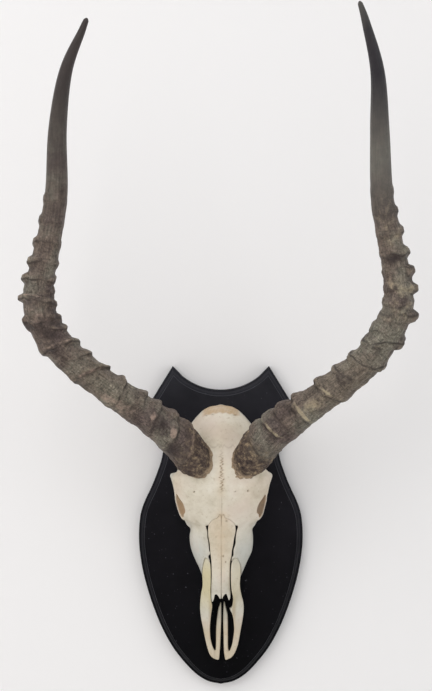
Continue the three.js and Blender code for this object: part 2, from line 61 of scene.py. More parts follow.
# ------------------------------------------------------------------ shield
# A wooden board about 20 mm thick, sawn to a shield with a hollow top and a pinched waist.
# Its front edge is moulded with a router: a narrow ledge, a slope and a small step up to the
# flat face. It is sprayed satin black all over, and scuffed a little.
BOARD_BACK = 12.4          # out, the plain part of the edge
RIGHT_SIDE = [(0, -173), (15.5, -169.3), (31.2, -158.4), (50.3, -136.2), (63.2, -114), (72.6, -92),
              (80, -70), (85.7, -48), (89.2, -26), (90, -9), (89.1, 7), (87, 18), (83, 29), (77.8, 40),
              (73, 51), (68.9, 62), (65.3, 73), (63.5, 84), (64.5, 92), (68.5, 102), (74.5, 113), (82, 129)]
TOP_CORNER = (53, 176)
TOP_DIP = 26
MOULDING = [(0.3, 0.5), (0.5, 0.2), (1.4, 0.1), (0.5, 0.6), (0.6, 1.0), (0.8, 1.2), (1.0, 1.2), (1.0, 0.9),
            (0.25, 0.9), (0.25, 0.7), (0.4, 0.3)]   # (inwards, outwards) of each step from the edge
MOULDING_SHEEN_FROM, MOULDING_SHEEN_TO = 12.9, 19.96    # out, where the moulding is painted grey as a painted reflection
BOARD_SHEEN_FROM, BOARD_SHEEN_TO = -170, 172      # height, where the painted sheen begins and where it is strongest
# Cut into its back: pockets (width, height, corner radius, depth) for the hanger plate and for
# the wall screw's head, and screws (x, height, head and shank radius, depth of the head's face,
# length), of which the long two hold the skull.
HANGER_HEIGHT = 126
POCKETS = [(46.6, 18.6, 3.3, 2.3), (22, 16, 3, 11)]
SCREWS = {
    "hanger_screw_left": (-17.5, HANGER_HEIGHT, 3.4, 1.5, 0.5, 14),
    "hanger_screw_right": (17.5, HANGER_HEIGHT, 3.4, 1.5, 0.5, 14),
    "skull_screw_upper": (0, 44, 5.2, 2.4, 0.4, 27),
    "skull_screw_lower": (0, -30, 5.2, 2.4, 0.4, 27),
}
SCREW_ROOM = 0.3           # between a screw and its hole
SCREW_EDGE = 0.5           # depth of the straight edge of a screw's head
CLEAR_BEHIND = -1          # out, where every cut into the back starts
CLEAR_IN_FRONT = 25        # out, where a hole that runs right through may end


def smooth_line(points, per_span, closed=False):
    """A smooth curve through every point, with this many steps from one to the next."""
    p = np.asarray(points, float)
    first, last = (p[-1:], p[:2]) if closed else (2 * p[:1] - p[1:2], 2 * p[-1:] - p[-2:-1])
    p = np.vstack([first, p, last])
    t = np.linspace(0, 1, per_span, endpoint=False)[:, None]
    spans = [0.5 * (2 * b + (c - a) * t + (2 * a - 5 * b + 4 * c - d) * t**2
                    + (3 * b - a - 3 * c + d) * t**3)
             for a, b, c, d in zip(p[:-3], p[1:-2], p[2:-1], p[3:])]
    return np.vstack(spans if closed else spans + [p[-2:-1]])


def pick(piece):
    """Select only this piece, and make it the active one."""
    bpy.ops.object.select_all(action="DESELECT")
    piece.select_set(True)
    bpy.context.view_layer.objects.active = piece


def new_piece(name, vertices, faces):
    mesh = bpy.data.meshes.new(name)
    mesh.from_pydata([tuple(v) for v in vertices], [], faces)
    mesh.update()
    piece = bpy.data.objects.new(name, mesh)
    bpy.context.collection.objects.link(piece)
    pick(piece)
    return piece


def face_outwards():
    """Turn every face of the active piece outwards."""
    bpy.ops.object.mode_set(mode="EDIT")
    bpy.ops.mesh.select_all(action="SELECT")
    bpy.ops.mesh.normals_make_consistent(inside=False)
    bpy.ops.object.mode_set(mode="OBJECT")


def thickened(name, outline, out_from, out_to, moulding=()):
    """A plate of this outline, as seen from the wall, with steps moulded into its front edge."""
    piece = new_piece(name, [(x * MM, -out_from * MM, z * MM) for x, z in outline], [range(len(outline))])
    bpy.ops.object.mode_set(mode="EDIT")
    bpy.ops.mesh.select_all(action="SELECT")
    bpy.ops.mesh.extrude_region_move(TRANSFORM_OT_translate={"value": (0, (out_from - out_to) * MM, 0)})
    for inwards, outwards in moulding:
        bpy.ops.mesh.inset(thickness=inwards * MM, depth=outwards * MM, use_even_offset=True)
    bpy.ops.object.mode_set(mode="OBJECT")
    face_outwards()
    return piece


right_side = smooth_line(RIGHT_SIDE, 5)
right_side = np.delete(right_side, [-3, -2], axis=0)     # room for the moulding beside the shoulder
hollow_radius = (TOP_CORNER[0] ** 2 + TOP_DIP**2) / (2 * TOP_DIP)
hollow_half = math.asin(TOP_CORNER[0] / hollow_radius)
turn = np.linspace(hollow_half, -hollow_half, 41)[5:-5]
hollow = np.column_stack([hollow_radius * np.sin(turn),
                          TOP_CORNER[1] - TOP_DIP + hollow_radius * (1 - np.cos(turn))])
half = np.vstack([right_side, [TOP_CORNER]])
outline = np.vstack([half, hollow, half[:0:-1] * (-1, 1)])
board = thickened("shield_board", outline, 0, BOARD_BACK, MOULDING)


def cut_away(piece, cutter):
    """Take the cutter's shape out of the piece, and remove the cutter."""
    modifier = piece.modifiers.new("cut", "BOOLEAN")
    modifier.operation = "DIFFERENCE"
    modifier.solver = "EXACT"
    modifier.object = cutter
    pick(piece)
    bpy.ops.object.modifier_apply(modifier=modifier.name)
    bpy.data.objects.remove(cutter)


def rounded_block(width, height, corner, out_from, out_to):
    """A block with round corners as seen from the wall, about the hanger's middle."""
    outline = []
    for k, (across, up) in enumerate([(1, 1), (-1, 1), (-1, -1), (1, -1)]):
        for angle in np.linspace(k * math.pi / 2, (k + 1) * math.pi / 2, 7):
            outline.append((across * (width / 2 - corner) + corner * math.cos(angle),
                            HANGER_HEIGHT + up * (height / 2 - corner) + corner * math.sin(angle)))
    return thickened("block", outline, out_from, out_to)


def turned(name, profile, x, z, sides=48):
    """A round solid about an axis square to the wall, from (radius, out) pairs."""
    angles = np.linspace(0, 2 * math.pi, sides, endpoint=False)
    vertices = [((x + r * math.cos(a)) * MM, -out * MM, (z + r * math.sin(a)) * MM)
                for r, out in profile for a in angles]
    last = (len(profile) - 1) * sides
    faces = [(k + i, k + (i + 1) % sides, k + sides + (i + 1) % sides, k + sides + i)
             for k in range(0, last, sides) for i in range(sides)]
    piece = new_piece(name, vertices, faces + [range(sides), range(last, last + sides)])
    face_outwards()
    return piece


def under_head(head, shank, sunk):
    """The (radius, out) pairs where a countersunk head's edge ends and where its shank begins."""
    return [(head, sunk + SCREW_EDGE), (shank, sunk + SCREW_EDGE + head - shank)]


for width, height, corner, depth in POCKETS:
    cut_away(board, rounded_block(width, height, corner, CLEAR_BEHIND, depth))
for x, z, head, shank, sunk, length in SCREWS.values():
    head, shank = head + SCREW_ROOM, shank + SCREW_ROOM
    deep = min(sunk + length + SCREW_ROOM, CLEAR_IN_FRONT)
    hole = [(head, CLEAR_BEHIND), *under_head(head, shank, sunk), (shank, deep)]
    cut_away(board, turned("hole", hole, x, z))


def use_material(piece, material):
    piece.data.materials.clear()
    piece.data.materials.append(material)


def linear(r, g, b):
    """An sRGB colour out of 255 as the linear one that a shader takes."""
    def channel(v):
        v /= 255
        return v / 12.92 if v <= 0.04045 else ((v + 0.055) / 1.055) ** 2.4
    return (channel(r), channel(g), channel(b), 1.0)


class Coat:
    """A new material with one main shader, and short ways to add nodes in front of it."""

    def __init__(self, name, roughness, specular=0.5):
        self.material = bpy.data.materials.new(name)
        self.material.use_nodes = True
        self.tree = self.material.node_tree
        self.surface = self.tree.nodes["Principled BSDF"]
        self.surface.inputs["Roughness"].default_value = roughness
        self.surface.inputs["Specular IOR Level"].default_value = specular
        self.relief = None

    def plug(self, socket, value):
        """Link the socket to another one, or give it a value."""
        if isinstance(value, bpy.types.NodeSocket):
            self.tree.links.new(value, socket)
        else:
            socket.default_value = value

    def node(self, kind, inputs=(), **settings):
        """A new node, with a value or a link for each input by its name or number."""
        made = self.tree.nodes.new(kind)
        for key, value in settings.items():
            setattr(made, key, value)
        for key, value in dict(inputs).items():
            self.plug(made.inputs[key], value)
        return made

    def place(self):
        return self.node("ShaderNodeTexCoord").outputs["Object"]

    def value(self, name, output="Fac"):
        """What the mesh holds under this name at each point."""
        return self.node("ShaderNodeAttribute", attribute_name=name).outputs[output]

    def noise(self, source, scale, detail=4.0, roughness=0.5, output="Fac"):
        return self.node("ShaderNodeTexNoise", {
            "Vector": source, "Scale": scale, "Detail": detail, "Roughness": roughness}).outputs[output]

    def stretched(self, source, scale):
        return self.node("ShaderNodeMapping", {"Vector": source, "Scale": scale}).outputs["Vector"]

    def spread(self, source, low, high):
        """The range from low to high, as a value from 0 to 1."""
        return self.node("ShaderNodeMapRange", {"Value": source, 1: low, 2: high}).outputs["Result"]

    def ramp(self, source, stops):
        """Colours, or numbers that stand for greys, each at its place between 0 and 1."""
        made = self.node("ShaderNodeValToRGB", {"Fac": source})
        while len(made.color_ramp.elements) < len(stops):
            made.color_ramp.elements.new(0.5)
        for element, (at, colour) in zip(made.color_ramp.elements, stops):
            element.position = at
            colour = (colour,) * 3 if np.isscalar(colour) else colour
            element.color = (*colour[:3], 1)
        return made.outputs["Color"]

    def mix(self, factor, first, second, blend="MIX"):
        made = self.node("ShaderNodeMix", data_type="RGBA", blend_type=blend)
        plugs = {"Factor": factor, "A": first, "B": second}
        for socket in made.inputs:
            if socket.enabled and socket.name in plugs:
                self.plug(socket, plugs[socket.name])
        return next(s for s in made.outputs if s.enabled)

    def times(self, first, second, factor=1.0):
        return self.mix(factor, first, second, "MULTIPLY")

    def over(self, below, source, stops, above):
        """The colour above laid over the one below, as strongly as the stops say."""
        return self.mix(self.ramp(source, stops), below, above)

    def bump(self, height, distance, strength):
        """Fine relief, on top of whatever relief there is already."""
        inputs = {"Distance": distance, "Strength": strength, "Height": height}
        if self.relief is not None:
            inputs["Normal"] = self.relief
        self.relief = self.node("ShaderNodeBump", inputs).outputs["Normal"]

    def done(self, colour, roughness=None):
        """Link all that is made to the main shader, and give the material."""
        for name, source in [("Base Color", colour), ("Roughness", roughness), ("Normal", self.relief)]:
            if source is not None:
                self.tree.links.new(source, self.surface.inputs[name])
        return self.material


def black_paint():
    coat = Coat("black_paint", 0.4, 0.06)
    place = coat.place()
    height = coat.node("ShaderNodeSeparateXYZ", {0: place})
    # painted sheen: the black is painted lighter and greyer more and more towards the top, as a satin face
    # lit from above looks
    colour = coat.ramp(coat.spread(height.outputs["Z"], BOARD_SHEEN_FROM * MM, BOARD_SHEEN_TO * MM), [
        (0.0, linear(4, 4, 6)), (0.45, linear(20, 19, 23)),
        (0.8, linear(34, 33, 38)), (1.0, linear(42, 42, 46))])
    colour = coat.times(colour, coat.ramp(coat.noise(place, 18, 4, 0.6), [(0.3, 0.75), (0.7, 1.3)]))
    colour = coat.over(colour, coat.noise(place, 420, 2, 0.4), [(0.735, 0), (0.78, 1)], linear(74, 73, 80))
    # painted reflection: the moulding's slopes are painted a dull grey, as they catch the bright room, with a
    # painted highlight along the step up to the face
    wear_and_highlight = coat.ramp(coat.spread(height.outputs["Y"], -MOULDING_SHEEN_FROM * MM, -MOULDING_SHEEN_TO * MM), [
        (0.0, 0), (0.12, 0.16), (0.6, 0.1), (0.8, 0.03), (0.92, 0.9), (1.0, 0)])
    wear_and_highlight = coat.times(wear_and_highlight, coat.ramp(coat.noise(place, 60, 4, 0.6), [(0.3, 0.45), (0.65, 1)]))
    colour = coat.mix(wear_and_highlight, colour, linear(78, 79, 85))
    coat.bump(coat.noise(place, 900, 2), 0.00004, 0.6)
    return coat.done(colour, coat.ramp(coat.noise(place, 45, 5, 0.6), [(0.3, 0.34), (0.75, 0.52)]))


use_material(board, black_paint())
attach(board, "root")
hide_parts("shield")

# ------------------------------------------------------------------ skull
# The cranium of a grown ram, boiled and bleached: braincase, forehead, eye sockets, cheek and
# upper jaw bones grown into one, sawn flat behind where it meets the board. It is worked out as
# a solid field, filled and carved a feature at a time, and then skinned.
BOARD_FRONT = 20.3         # out, just clear of the board's face
# cross-sections: z, left half width, right half width, crown out, flank out, squareness
SKULL_ROWS = [
    (134.6, 3, 3, 42, 40, 2), (133, 7.5, 7.5, 48, 41, 2), (130.4, 13.4, 13, 54, 42, 2),
    (127.2, 19.6, 19, 60, 44, 2), (118, 29, 29, 72, 47, 2), (110, 34, 35, 78, 49, 2),
    (98, 37, 38, 86, 52, 2.1), (86, 38, 39, 92, 56, 2.2), (76, 40, 42, 95.3, 60, 2.4),
    (67, 45.4, 49, 95.8, 64, 2.7), (60, 51.7, 53.2, 95.6, 68, 3.1), (51, 51, 51.6, 94.6, 66, 3.2),
    (45, 50, 50.5, 93.4, 63, 3.2), (38, 49.4, 49.6, 91.6, 60, 3.1), (31, 49, 49.2, 89.6, 56, 3),
    (24, 47, 47.6, 87, 52, 2.8), (17, 42.6, 44, 84.6, 48, 2.6), (12, 38.4, 39.5, 83, 46, 2.5),
    (7, 33.2, 34.6, 81.3, 44, 2.4), (1, 32.6, 33.8, 79.6, 42, 2.4), (-7, 33.8, 34.6, 77.3, 40, 2.3),
    (-16, 33.2, 34.6, 74.8, 38, 2.3), (-24, 31.2, 33.3, 72.4, 37, 2.3), (-33, 27.6, 29.2, 69.8, 36, 2.2),
    (-42, 23.4, 25.4, 66.8, 35, 2.2), (-51, 20, 21.6, 63.4, 34, 2.2), (-58, 18.6, 19.8, 60.6, 33, 2.2),
    (-66, 17.6, 18.4, 56, 32, 2.2),
]
CROWN_Z, JAW_END_Z = 134.3, -68
ORBIT_CENTRE = (43, 60.5, 32)      # x, out, z of the middle of its rim
ORBIT_AXIS = (0.95, 0.24, -0.2)
ORBIT_RADIUS = 17
ORBIT_DEEP = 6             # its ball's middle, inwards of the rim
# The part of its opening that faces front, x and z
ORBIT_LENS = [(46.8, 42), (44, 37.5), (40.6, 33), (38.6, 28), (37.8, 22.8), (39.4, 20.4), (42.5, 22),
              (45.2, 27), (46.8, 33), (47.2, 38)]
RIM_OUTSIDE, RIM_THICK = 1.2, 1.8      # the raised rim about the socket
# The stumps under the horns: two points on the axis of each, where it runs from and to along
# that axis, counted from the first point, and the radius at each end
PEDICLES = [[(-26, 86, 78), (-56, 111, 112)], [(29, 86, 78), (55, 111, 110)]]
PEDICLE_FROM, PEDICLE_TO, PEDICLE_RADII = -26, 2, (16.4, 17)
BRAINCASE = [(0, 47, 85), (36, 40, 49), 5]      # middle, radii and blend
# Bars grown onto each side: two points (x, out, z), the radius at each, blend
SIDE_BARS = [
    ((45, 70, 55), (51.4, 68, 60.4), 5, 2.6, 4),        # the corner of the brow
    ((33, 46, 8), (43, 40, 32), 4.4, 4.2, 4),           # the cheek arch, in three lengths
    ((43, 40, 32), (44.6, 37, 52), 4.2, 4.2, 4),
    ((44.6, 37, 52), (38, 35, 88), 4.2, 4, 5),
]
EAR_SWELLING = [(31, 34, 98), (10, 14, 14), 5]
TEMPLE_HOLLOW = [(47, 58, 80), (13, 15, 17), 5]
EAR_HOLE = [(42, 33, 92), (30, 36, 92), 2.6, 1.6, 1.2]
CHEEK_HOLE = [(34, 46, -34), (22, 50, -20), 2.2, 1.2, 1]
ORBIT_FLOOR = (17, 47, 46)      # where the socket runs in towards the brain
ORBIT_FRONT_FLOOR = 57          # out, how deep the part that faces front is cut
# Small holes in the forehead, for the brow's blood vessels: x, z, radius
BROW_HOLES = [(-28.5, 44, 1.3), (15.2, 45.2, 0.9), (28.6, 45.4, 1.2), (19.2, 50, 0.6)]
VOXEL = 0.94


def field_grid(low, high, voxel):
    """Coordinates x, out and z of every point of a box filled with voxels."""
    axes = [np.arange(a, b + voxel, voxel, dtype=np.float32) for a, b in zip(low, high)]
    return np.meshgrid(*axes, indexing="ij", sparse=True)


def bend(z, rows, column):
    """One column of the rows as a smooth function of z."""
    line = smooth_line([(row[0], row[column]) for row in rows], 12)[::-1]
    return np.interp(z, line[:, 0], line[:, 1]).astype(np.float32)


def unit(values):
    """The values, none under 0 or over 1."""
    return np.clip(values, 0, 1)


def join(a, b, blend):
    """Both shapes, with the corner between them filled over this distance."""
    h = unit(0.5 + 0.5 * (b - a) / blend)
    return b + (a - b) * h - blend * h * (1 - h)


def carve(a, b, blend):
    """The first shape without the second, with the new edge rounded."""
    return -join(-a, b, blend)


def ball(grid, centre, radii):
    x, out, z = grid
    reach = np.sqrt(((x - centre[0]) / radii[0]) ** 2 + ((out - centre[1]) / radii[1]) ** 2
                    + ((z - centre[2]) / radii[2]) ** 2)
    return (reach - 1) * min(radii)


def rod(grid, start, end, start_radius, end_radius):
    """A round bar that tapers from one point to another, with round ends."""
    start, end = np.array(start, np.float32), np.array(end, np.float32)
    along = end - start
    t = sum((g - s) * a for g, s, a in zip(grid, start, along)) / float(along @ along)
    t = unit(t)
    gap = np.sqrt(sum((g - s - t * a) ** 2 for g, s, a in zip(grid, start, along)))
    return gap - (start_radius + (end_radius - start_radius) * t)


def drop_specks(piece):
    """Delete whatever does not hang together with the piece's outermost point."""
    mesh = bmesh.new()
    mesh.from_mesh(piece.data)
    waiting = [min(mesh.verts, key=lambda vertex: vertex.co.y)]
    reached = set(waiting)
    while waiting:
        vertex = waiting.pop()
        for edge in vertex.link_edges:
            other = edge.other_vert(vertex)
            if other not in reached:
                reached.add(other)
                waiting.append(other)
    bmesh.ops.delete(mesh, geom=[vertex for vertex in mesh.verts if vertex not in reached], context="VERTS")
    mesh.to_mesh(piece.data)
    mesh.free()


def skin(name, field, low, voxel, smoothing=1):
    """The closed surface where the field is zero, as a piece in metres."""
    volume = openvdb.FloatGrid(3.0)
    volume.copyFromArray(np.clip(field, -2.5 * voxel, 2.5 * voxel).astype(np.float32))
    points, quads = volume.convertToQuads(isovalue=0.0)
    points = points * voxel + np.array(low)
    points[:, 1] *= -1
    piece = new_piece(name, points * MM, quads.tolist())
    drop_specks(piece)
    bpy.ops.object.mode_set(mode="EDIT")
    bpy.ops.mesh.select_all(action="SELECT")
    bpy.ops.mesh.vertices_smooth(factor=0.5, repeat=smoothing)
    bpy.ops.object.mode_set(mode="OBJECT")
    face_outwards()
    bpy.ops.object.shade_smooth()
    return piece


def mirrored(side, point):
    """The point, which is given for the right side, on this side."""
    return (side * point[0], *point[1:])


def outline_distance(points, x, z, steps=4):
    """Distance from every x, z to a smooth closed outline, negative inside it."""
    line = smooth_line(points, steps, closed=True)
    x, z = np.broadcast_arrays(x, z)
    nearest = np.full(x.shape, 1e9, np.float32)
    inside = np.zeros(x.shape, bool)
    for (ax, az), (bx, bz) in zip(line, np.roll(line, -1, axis=0)):
        ex, ez = bx - ax, bz - az
        t = unit(((x - ax) * ex + (z - az) * ez) / max(ex * ex + ez * ez, 1e-9))
        nearest = np.minimum(nearest, (x - ax - t * ex) ** 2 + (z - az - t * ez) ** 2)
        if az != bz:
            inside ^= ((az > z) != (bz > z)) & (x < ex * (z - az) / ez + ax)
    return np.where(inside, -1, 1) * np.sqrt(nearest)


def plan_distance(points, grid, steps=4, side=1):
    """The same for every voxel of a grid, whatever its height off the wall."""
    return outline_distance(points, side * grid[0][:, :, 0], grid[2][0], steps)[:, None, :]


SKULL_LOW, SKULL_HIGH = (-58.0, 18.0, -72.0), (58.0, 112.0, 138.0)
grid = field_grid(SKULL_LOW, SKULL_HIGH, VOXEL)
X, OUT, Z = grid
column = Z[0, 0]
left, right, crown, flank, square = (bend(column, SKULL_ROWS, k)[None, None, :] for k in range(1, 6))
width = np.where(X < 0, left, right)
# Swellings and hollows of the forehead, cheeks and jaw: x, z, spread in x and z, height.
RELIEF = [
    (0, 40, 9, 26, 0.8), (24, 44, 9, 14, -0.9), (38, 22, 7, 6, -1.6), (36, 50, 6, 9, 1.2),
    (28, 10, 8, 9, -1.8), (19, 2, 5, 10, -0.8), (29, -12, 5, 14, 1.0), (0, 118, 16, 9, 1.2),
    (0, 126, 17, 2.2, 1.4), (0, 100, 13, 8, -0.8), (20, 57, 9, 9, -1.4),
]
lift = np.zeros((X.shape[0], 1, Z.shape[2]), np.float32)
for at_x, at_z, spread_x, spread_z, height in RELIEF:
    for side in ((-1, 1) if at_x else (1,)):
        lift += height * np.exp(-((X - side * at_x) / spread_x) ** 2 - ((Z - at_z) / spread_z) ** 2)
rise = np.clip((OUT - flank) / (crown + lift - flank), 0, None)
narrow = 0.84 + 0.16 * unit((OUT - BOARD_FRONT) / (flank - BOARD_FRONT))
body = ((np.abs(X) / (width * narrow)) ** square + rise**square) ** (1 / square) - 1
slope = np.sqrt(sum(g**2 for g in np.gradient(body, VOXEL)))
LEAST_SLOPE, FAR = 0.004, 30      # of the field a millimetre, and the distance it is followed to
body = np.clip(body / np.maximum(slope, LEAST_SLOPE), -FAR, FAR)
# behind the eyes the jaw rows give way to the round braincase
middle, radii, blend = BRAINCASE
body = join(body, ball(grid, middle, radii), blend)
for start, end in np.array(PEDICLES):
    way = (end - start) / np.linalg.norm(end - start)
    body = join(body, rod(grid, start + PEDICLE_FROM * way, start + PEDICLE_TO * way, *PEDICLE_RADII), 6)
for side in (-1, 1):
    rim, axis = mirrored(side, ORBIT_CENTRE), mirrored(side, ORBIT_AXIS)
    depth = sum((g - c) * a for g, c, a in zip(grid, rim, axis))
    reach = np.sqrt(np.maximum(sum((g - c) ** 2 for g, c in zip(grid, rim)) - depth**2, 0))
    ring = np.sqrt((reach - ORBIT_RADIUS - RIM_OUTSIDE) ** 2 + depth**2) - RIM_THICK
    body = join(body, ring, 3)
    for start, end, *radii, blend in SIDE_BARS:
        body = join(body, rod(grid, mirrored(side, start), mirrored(side, end), *radii), blend)
    for change, (middle, radii, blend) in ((join, EAR_SWELLING), (carve, TEMPLE_HOLLOW)):
        body = change(body, ball(grid, mirrored(side, middle), radii), blend)
    start, end, *radii, blend = EAR_HOLE
    body = carve(body, rod(grid, mirrored(side, start), mirrored(side, end), *radii), blend)
    # the socket, and its floor
    hollow_at = tuple(c - ORBIT_DEEP * a for c, a in zip(rim, axis))
    body = carve(body, ball(grid, hollow_at, (math.hypot(ORBIT_RADIUS, ORBIT_DEEP),) * 3), 1)
    lens = plan_distance(ORBIT_LENS, grid, side=side)
    body = carve(body, np.maximum(lens, ORBIT_FRONT_FLOOR - OUT), 0.8)
    body = carve(body, rod(grid, hollow_at, mirrored(side, ORBIT_FLOOR), 8, 2.4), 3)
    start, end, *radii, blend = CHEEK_HOLE
    body = carve(body, rod(grid, mirrored(side, start), mirrored(side, end), *radii), blend)
for at_x, at_z, radius in BROW_HOLES:
    start, end = (at_x, 97, at_z - 1), (at_x * 0.97, 84, at_z + 3)
    body = carve(body, rod(grid, start, end, radius, radius * 0.6), 0.5)
body = carve(body, CROWN_Z - Z, 3)
body = carve(body, Z - JAW_END_Z, 1)
body = np.maximum(body, BOARD_FRONT - OUT)


def face_out(x, z):
    """How far out the front of the skull stands at x, z, before the nose is opened."""
    half_width = np.where(x < 0, bend(z, SKULL_ROWS, 1), bend(z, SKULL_ROWS, 2))
    top, side, power = (bend(z, SKULL_ROWS, k) for k in (3, 4, 5))
    share = unit(1 - (np.abs(x) / half_width) ** power) ** (1 / power)
    return side + (top - side) * share


# The nose is hollow: a trough open in front, seen through the slit beside each nasal bone.
NOSE_TROUGH = [
    (-13, -95), (-11.4, -60), (-11.2, -40), (-11.6, -31), (-13.3, -25.6), (-11.3, -22), (-12.6, -18),
    (-13, -11), (-14.1, -4.5), (-14.5, 2.5), (-16, 8.2), (-12.6, 8.4), (-9, 5), (0, 4), (9, 5), (14.6, 8.2),
    (17.8, 7.9), (16.4, 2), (15.4, -5.5), (15.2, -11.8), (13.2, -18), (13.2, -24.5), (11, -29),
    (10.8, -60), (13, -95),
]
NOSE_FLOOR = 32
NASALS = {
    "left": [(0.2, 17.2), (-4, 17), (-8, 15.4), (-11.4, 12), (-13.3, 8.3), (-13.6, 2), (-13.3, -4),
             (-12, -11), (-11.5, -18.7), (-10.9, -24), (-10.2, -31), (-10, -38), (-10, -46), (-10.3, -54),
             (-10.6, -63), (-10.4, -71), (-9.6, -76.2), (-8.2, -75), (-7.2, -71.6), (-6.6, -68.6),
             (-5.4, -67.9), (-4, -68.3), (-2.6, -70), (0, -70.9), (0.2, -40)],
    "right": [(0.5, 17.2), (5, 16.8), (9.5, 15), (13, 12), (15, 8.3), (15.3, 2), (13.9, -5), (12.9, -12),
              (11.6, -18.7), (11, -25), (9.8, -31), (9.4, -40), (9.4, -52), (9.8, -61), (10.2, -66),
              (10, -71.6), (8.6, -74.6), (7.4, -71.6), (6.4, -68.4), (5.4, -67.4), (3.9, -68), (2.6, -69.8),
              (0.6, -70.9), (0.5, -40)],
}
PREMAXILLAE = {
    "left": [(-16.4, -27), (-18.6, -34), (-20, -46), (-19.7, -57), (-20.2, -64), (-21.4, -70), (-22.6, -84),
             (-21.6, -96.5), (-19.3, -108.5), (-16.9, -121), (-14, -132.6), (-11.1, -139.2), (-6.4, -142.8),
             (-3.2, -143.8), (-2, -142.6), (-1.3, -136), (-0.7, -127), (-0.2, -115), (0.4, -98), (0.4, -84),
             (0, -79.8), (-1.4, -83), (-2.8, -87), (-4.2, -97), (-5.2, -108.6), (-5.3, -120.6),
             (-5.5, -130), (-6.2, -133.5), (-7.5, -132), (-8.7, -129.7), (-11.1, -121), (-11.9, -109),
             (-11.1, -96.5), (-9.8, -86), (-9.4, -81.5), (-10.4, -76), (-11.2, -66), (-11, -56),
             (-10.9, -46), (-11.1, -38), (-12, -31.5)],
    "right": [(16.6, -27.4), (20.4, -36), (20.9, -47), (20.3, -57), (21, -65), (22.6, -73), (24.3, -80),
              (24.7, -87), (23.9, -96.4), (21.3, -111.2), (19.1, -124), (16.1, -133.8), (12, -140.3),
              (7.4, -143.3), (5.4, -143.8), (4.4, -142), (3.3, -133), (2.9, -115), (2.5, -99.5), (2.9, -84),
              (3.7, -78.8), (5.4, -85.5), (7.4, -94.5), (7.7, -108.6), (7.7, -121.7), (7.9, -130.4),
              (9, -134.2), (10.5, -131.5), (12.5, -125.2), (14.3, -112.3), (14.2, -105), (13.3, -96),
              (11.6, -89.5), (9.3, -85.6), (12, -82.6), (13.1, -73.5), (11.7, -65), (10.8, -56.5),
              (10.5, -44.5), (10.8, -35), (12.6, -29.4)],
}
trough = plan_distance(NOSE_TROUGH, grid, 3)
body = carve(body, np.maximum(trough, NOSE_FLOOR + np.maximum(Z + 10, 0) * 1.2 - OUT), 0.5)
bed = face_out(X[:, :, 0], Z[0])[:, None, :] + lift
for side, shape in NASALS.items():
    plate = plan_distance(shape, grid)
    body = carve(body, np.maximum(plate + 0.1, bed - 3.2 - OUT), 0.3)
for side, shape in PREMAXILLAE.items():
    plate = plan_distance(shape, grid)
    body = carve(body, np.maximum(plate - 0.1, bed - 4 - 6 * unit((-40 - Z) / 20) - OUT), 0.3)

skull = skin("skull_bone", body, SKULL_LOW, VOXEL)


def give_values(piece, **values):
    """A number of each name for every point of the mesh, for its material to read."""
    for name, numbers in values.items():
        layer = piece.data.attributes.new(name, "FLOAT", "POINT")
        layer.data.foreach_set("value", np.asarray(numbers, np.float32))


def points_of(piece):
    """x, out and z of every point, in millimetres."""
    flat = np.empty(len(piece.data.vertices) * 3, np.float32)
    piece.data.vertices.foreach_get("co", flat)
    x, y, z = flat.reshape(-1, 3).T / MM
    return x, -y, z


def spot(x, z, at_x, at_z, spread_x, spread_z):
    return np.exp(-((x - at_x) / spread_x) ** 2 - ((z - at_z) / spread_z) ** 2)


def zigzag(t, period):
    return np.abs((t / period) % 1 - 0.5) * 4 - 1


def bone():
    """Bleached bone: cream, a little grey and glassy on the flanks, with tan and brown stains, and brown and
    near-black painted shade deep in the eye sockets and the nose.
    """
    coat = Coat("bone", 0.62, 0.35)
    place = coat.place()
    dark = coat.value("dark")
    colour = coat.ramp(coat.noise(place, 34, 9, 0.68), [
        (0.3, linear(193, 182, 158)), (0.48, linear(220, 211, 192)), (0.7, linear(236, 229, 214))])
    colour = coat.mix(coat.value("cool"), colour, linear(196, 197, 190))
    patchy = coat.ramp(coat.noise(place, 75, 5, 0.65), [(0.3, 0.55), (0.6, 1)])
    colour = coat.mix(coat.times(patchy, coat.value("tan")), colour, linear(205, 178, 142))
    colour = coat.mix(coat.value("olive"), colour, linear(212, 201, 158))
    colour = coat.times(colour, coat.ramp(coat.noise(place, 310, 3, 0.6), [
        (0.27, (0.84, 0.8, 0.74)), (0.4, 1), (0.66, 1.03)]))
    colour = coat.over(colour, coat.noise(place, 16, 3, 0.6), [(0.5, 0), (0.68, 0.6)], linear(214, 194, 178))
    # the dark value: brown seams and stains, and painted shade deep in the eye sockets (brown) and in the
    # nose (near black)
    colour = coat.mix(dark, colour, linear(128, 98, 62))
    colour = coat.over(colour, dark, [(0.86, 0), (1.0, 1)], linear(34, 27, 22))
    coat.bump(coat.noise(place, 120, 3), 0.0004, 0.5)
    coat.bump(coat.noise(place, 700, 4, 0.7), 0.00012, 0.6)
    return coat.done(colour, coat.ramp(coat.noise(place, 90), [(0.3, 0.5), (0.7, 0.7)]))


x, out, z = points_of(skull)
front = unit((out - bend(z, SKULL_ROWS, 4)) / 12)
near_nose = np.minimum(*[outline_distance(shape, x, z) for shape in NASALS.values()])
# the saw-tooth seam down the forehead, its fine line below, and the faint seam across the crown
SEAM_X, SEAM_TOOTH, CROWN_SEAM_Z, CROWN_SEAM_TOOTH = 0.6, 3.1, 93, 5.3
tooth = z + 0.5 * np.sin(z * 0.9) + 0.3 * np.sin(z * 2.3 + 1)
seam_x = SEAM_X + (1.7 + 0.7 * np.sin(z * 0.55)) * zigzag(tooth, SEAM_TOOTH) * unit((z - 40) / 8)
seam = np.exp(-((x - seam_x) / 0.85) ** 2) * unit((z - 44) / 5) * unit((91 - z) / 14)
line = np.exp(-((x - SEAM_X) / 0.45) ** 2) * unit((46 - z) / 8) * (z > 15)
crown_seam_z = CROWN_SEAM_Z + 1.6 * zigzag(x + 2 * np.sin(x * 0.4), CROWN_SEAM_TOOTH)
crown_seam = np.exp(-((z - crown_seam_z) / 0.9) ** 2) * (np.abs(x) < 15)
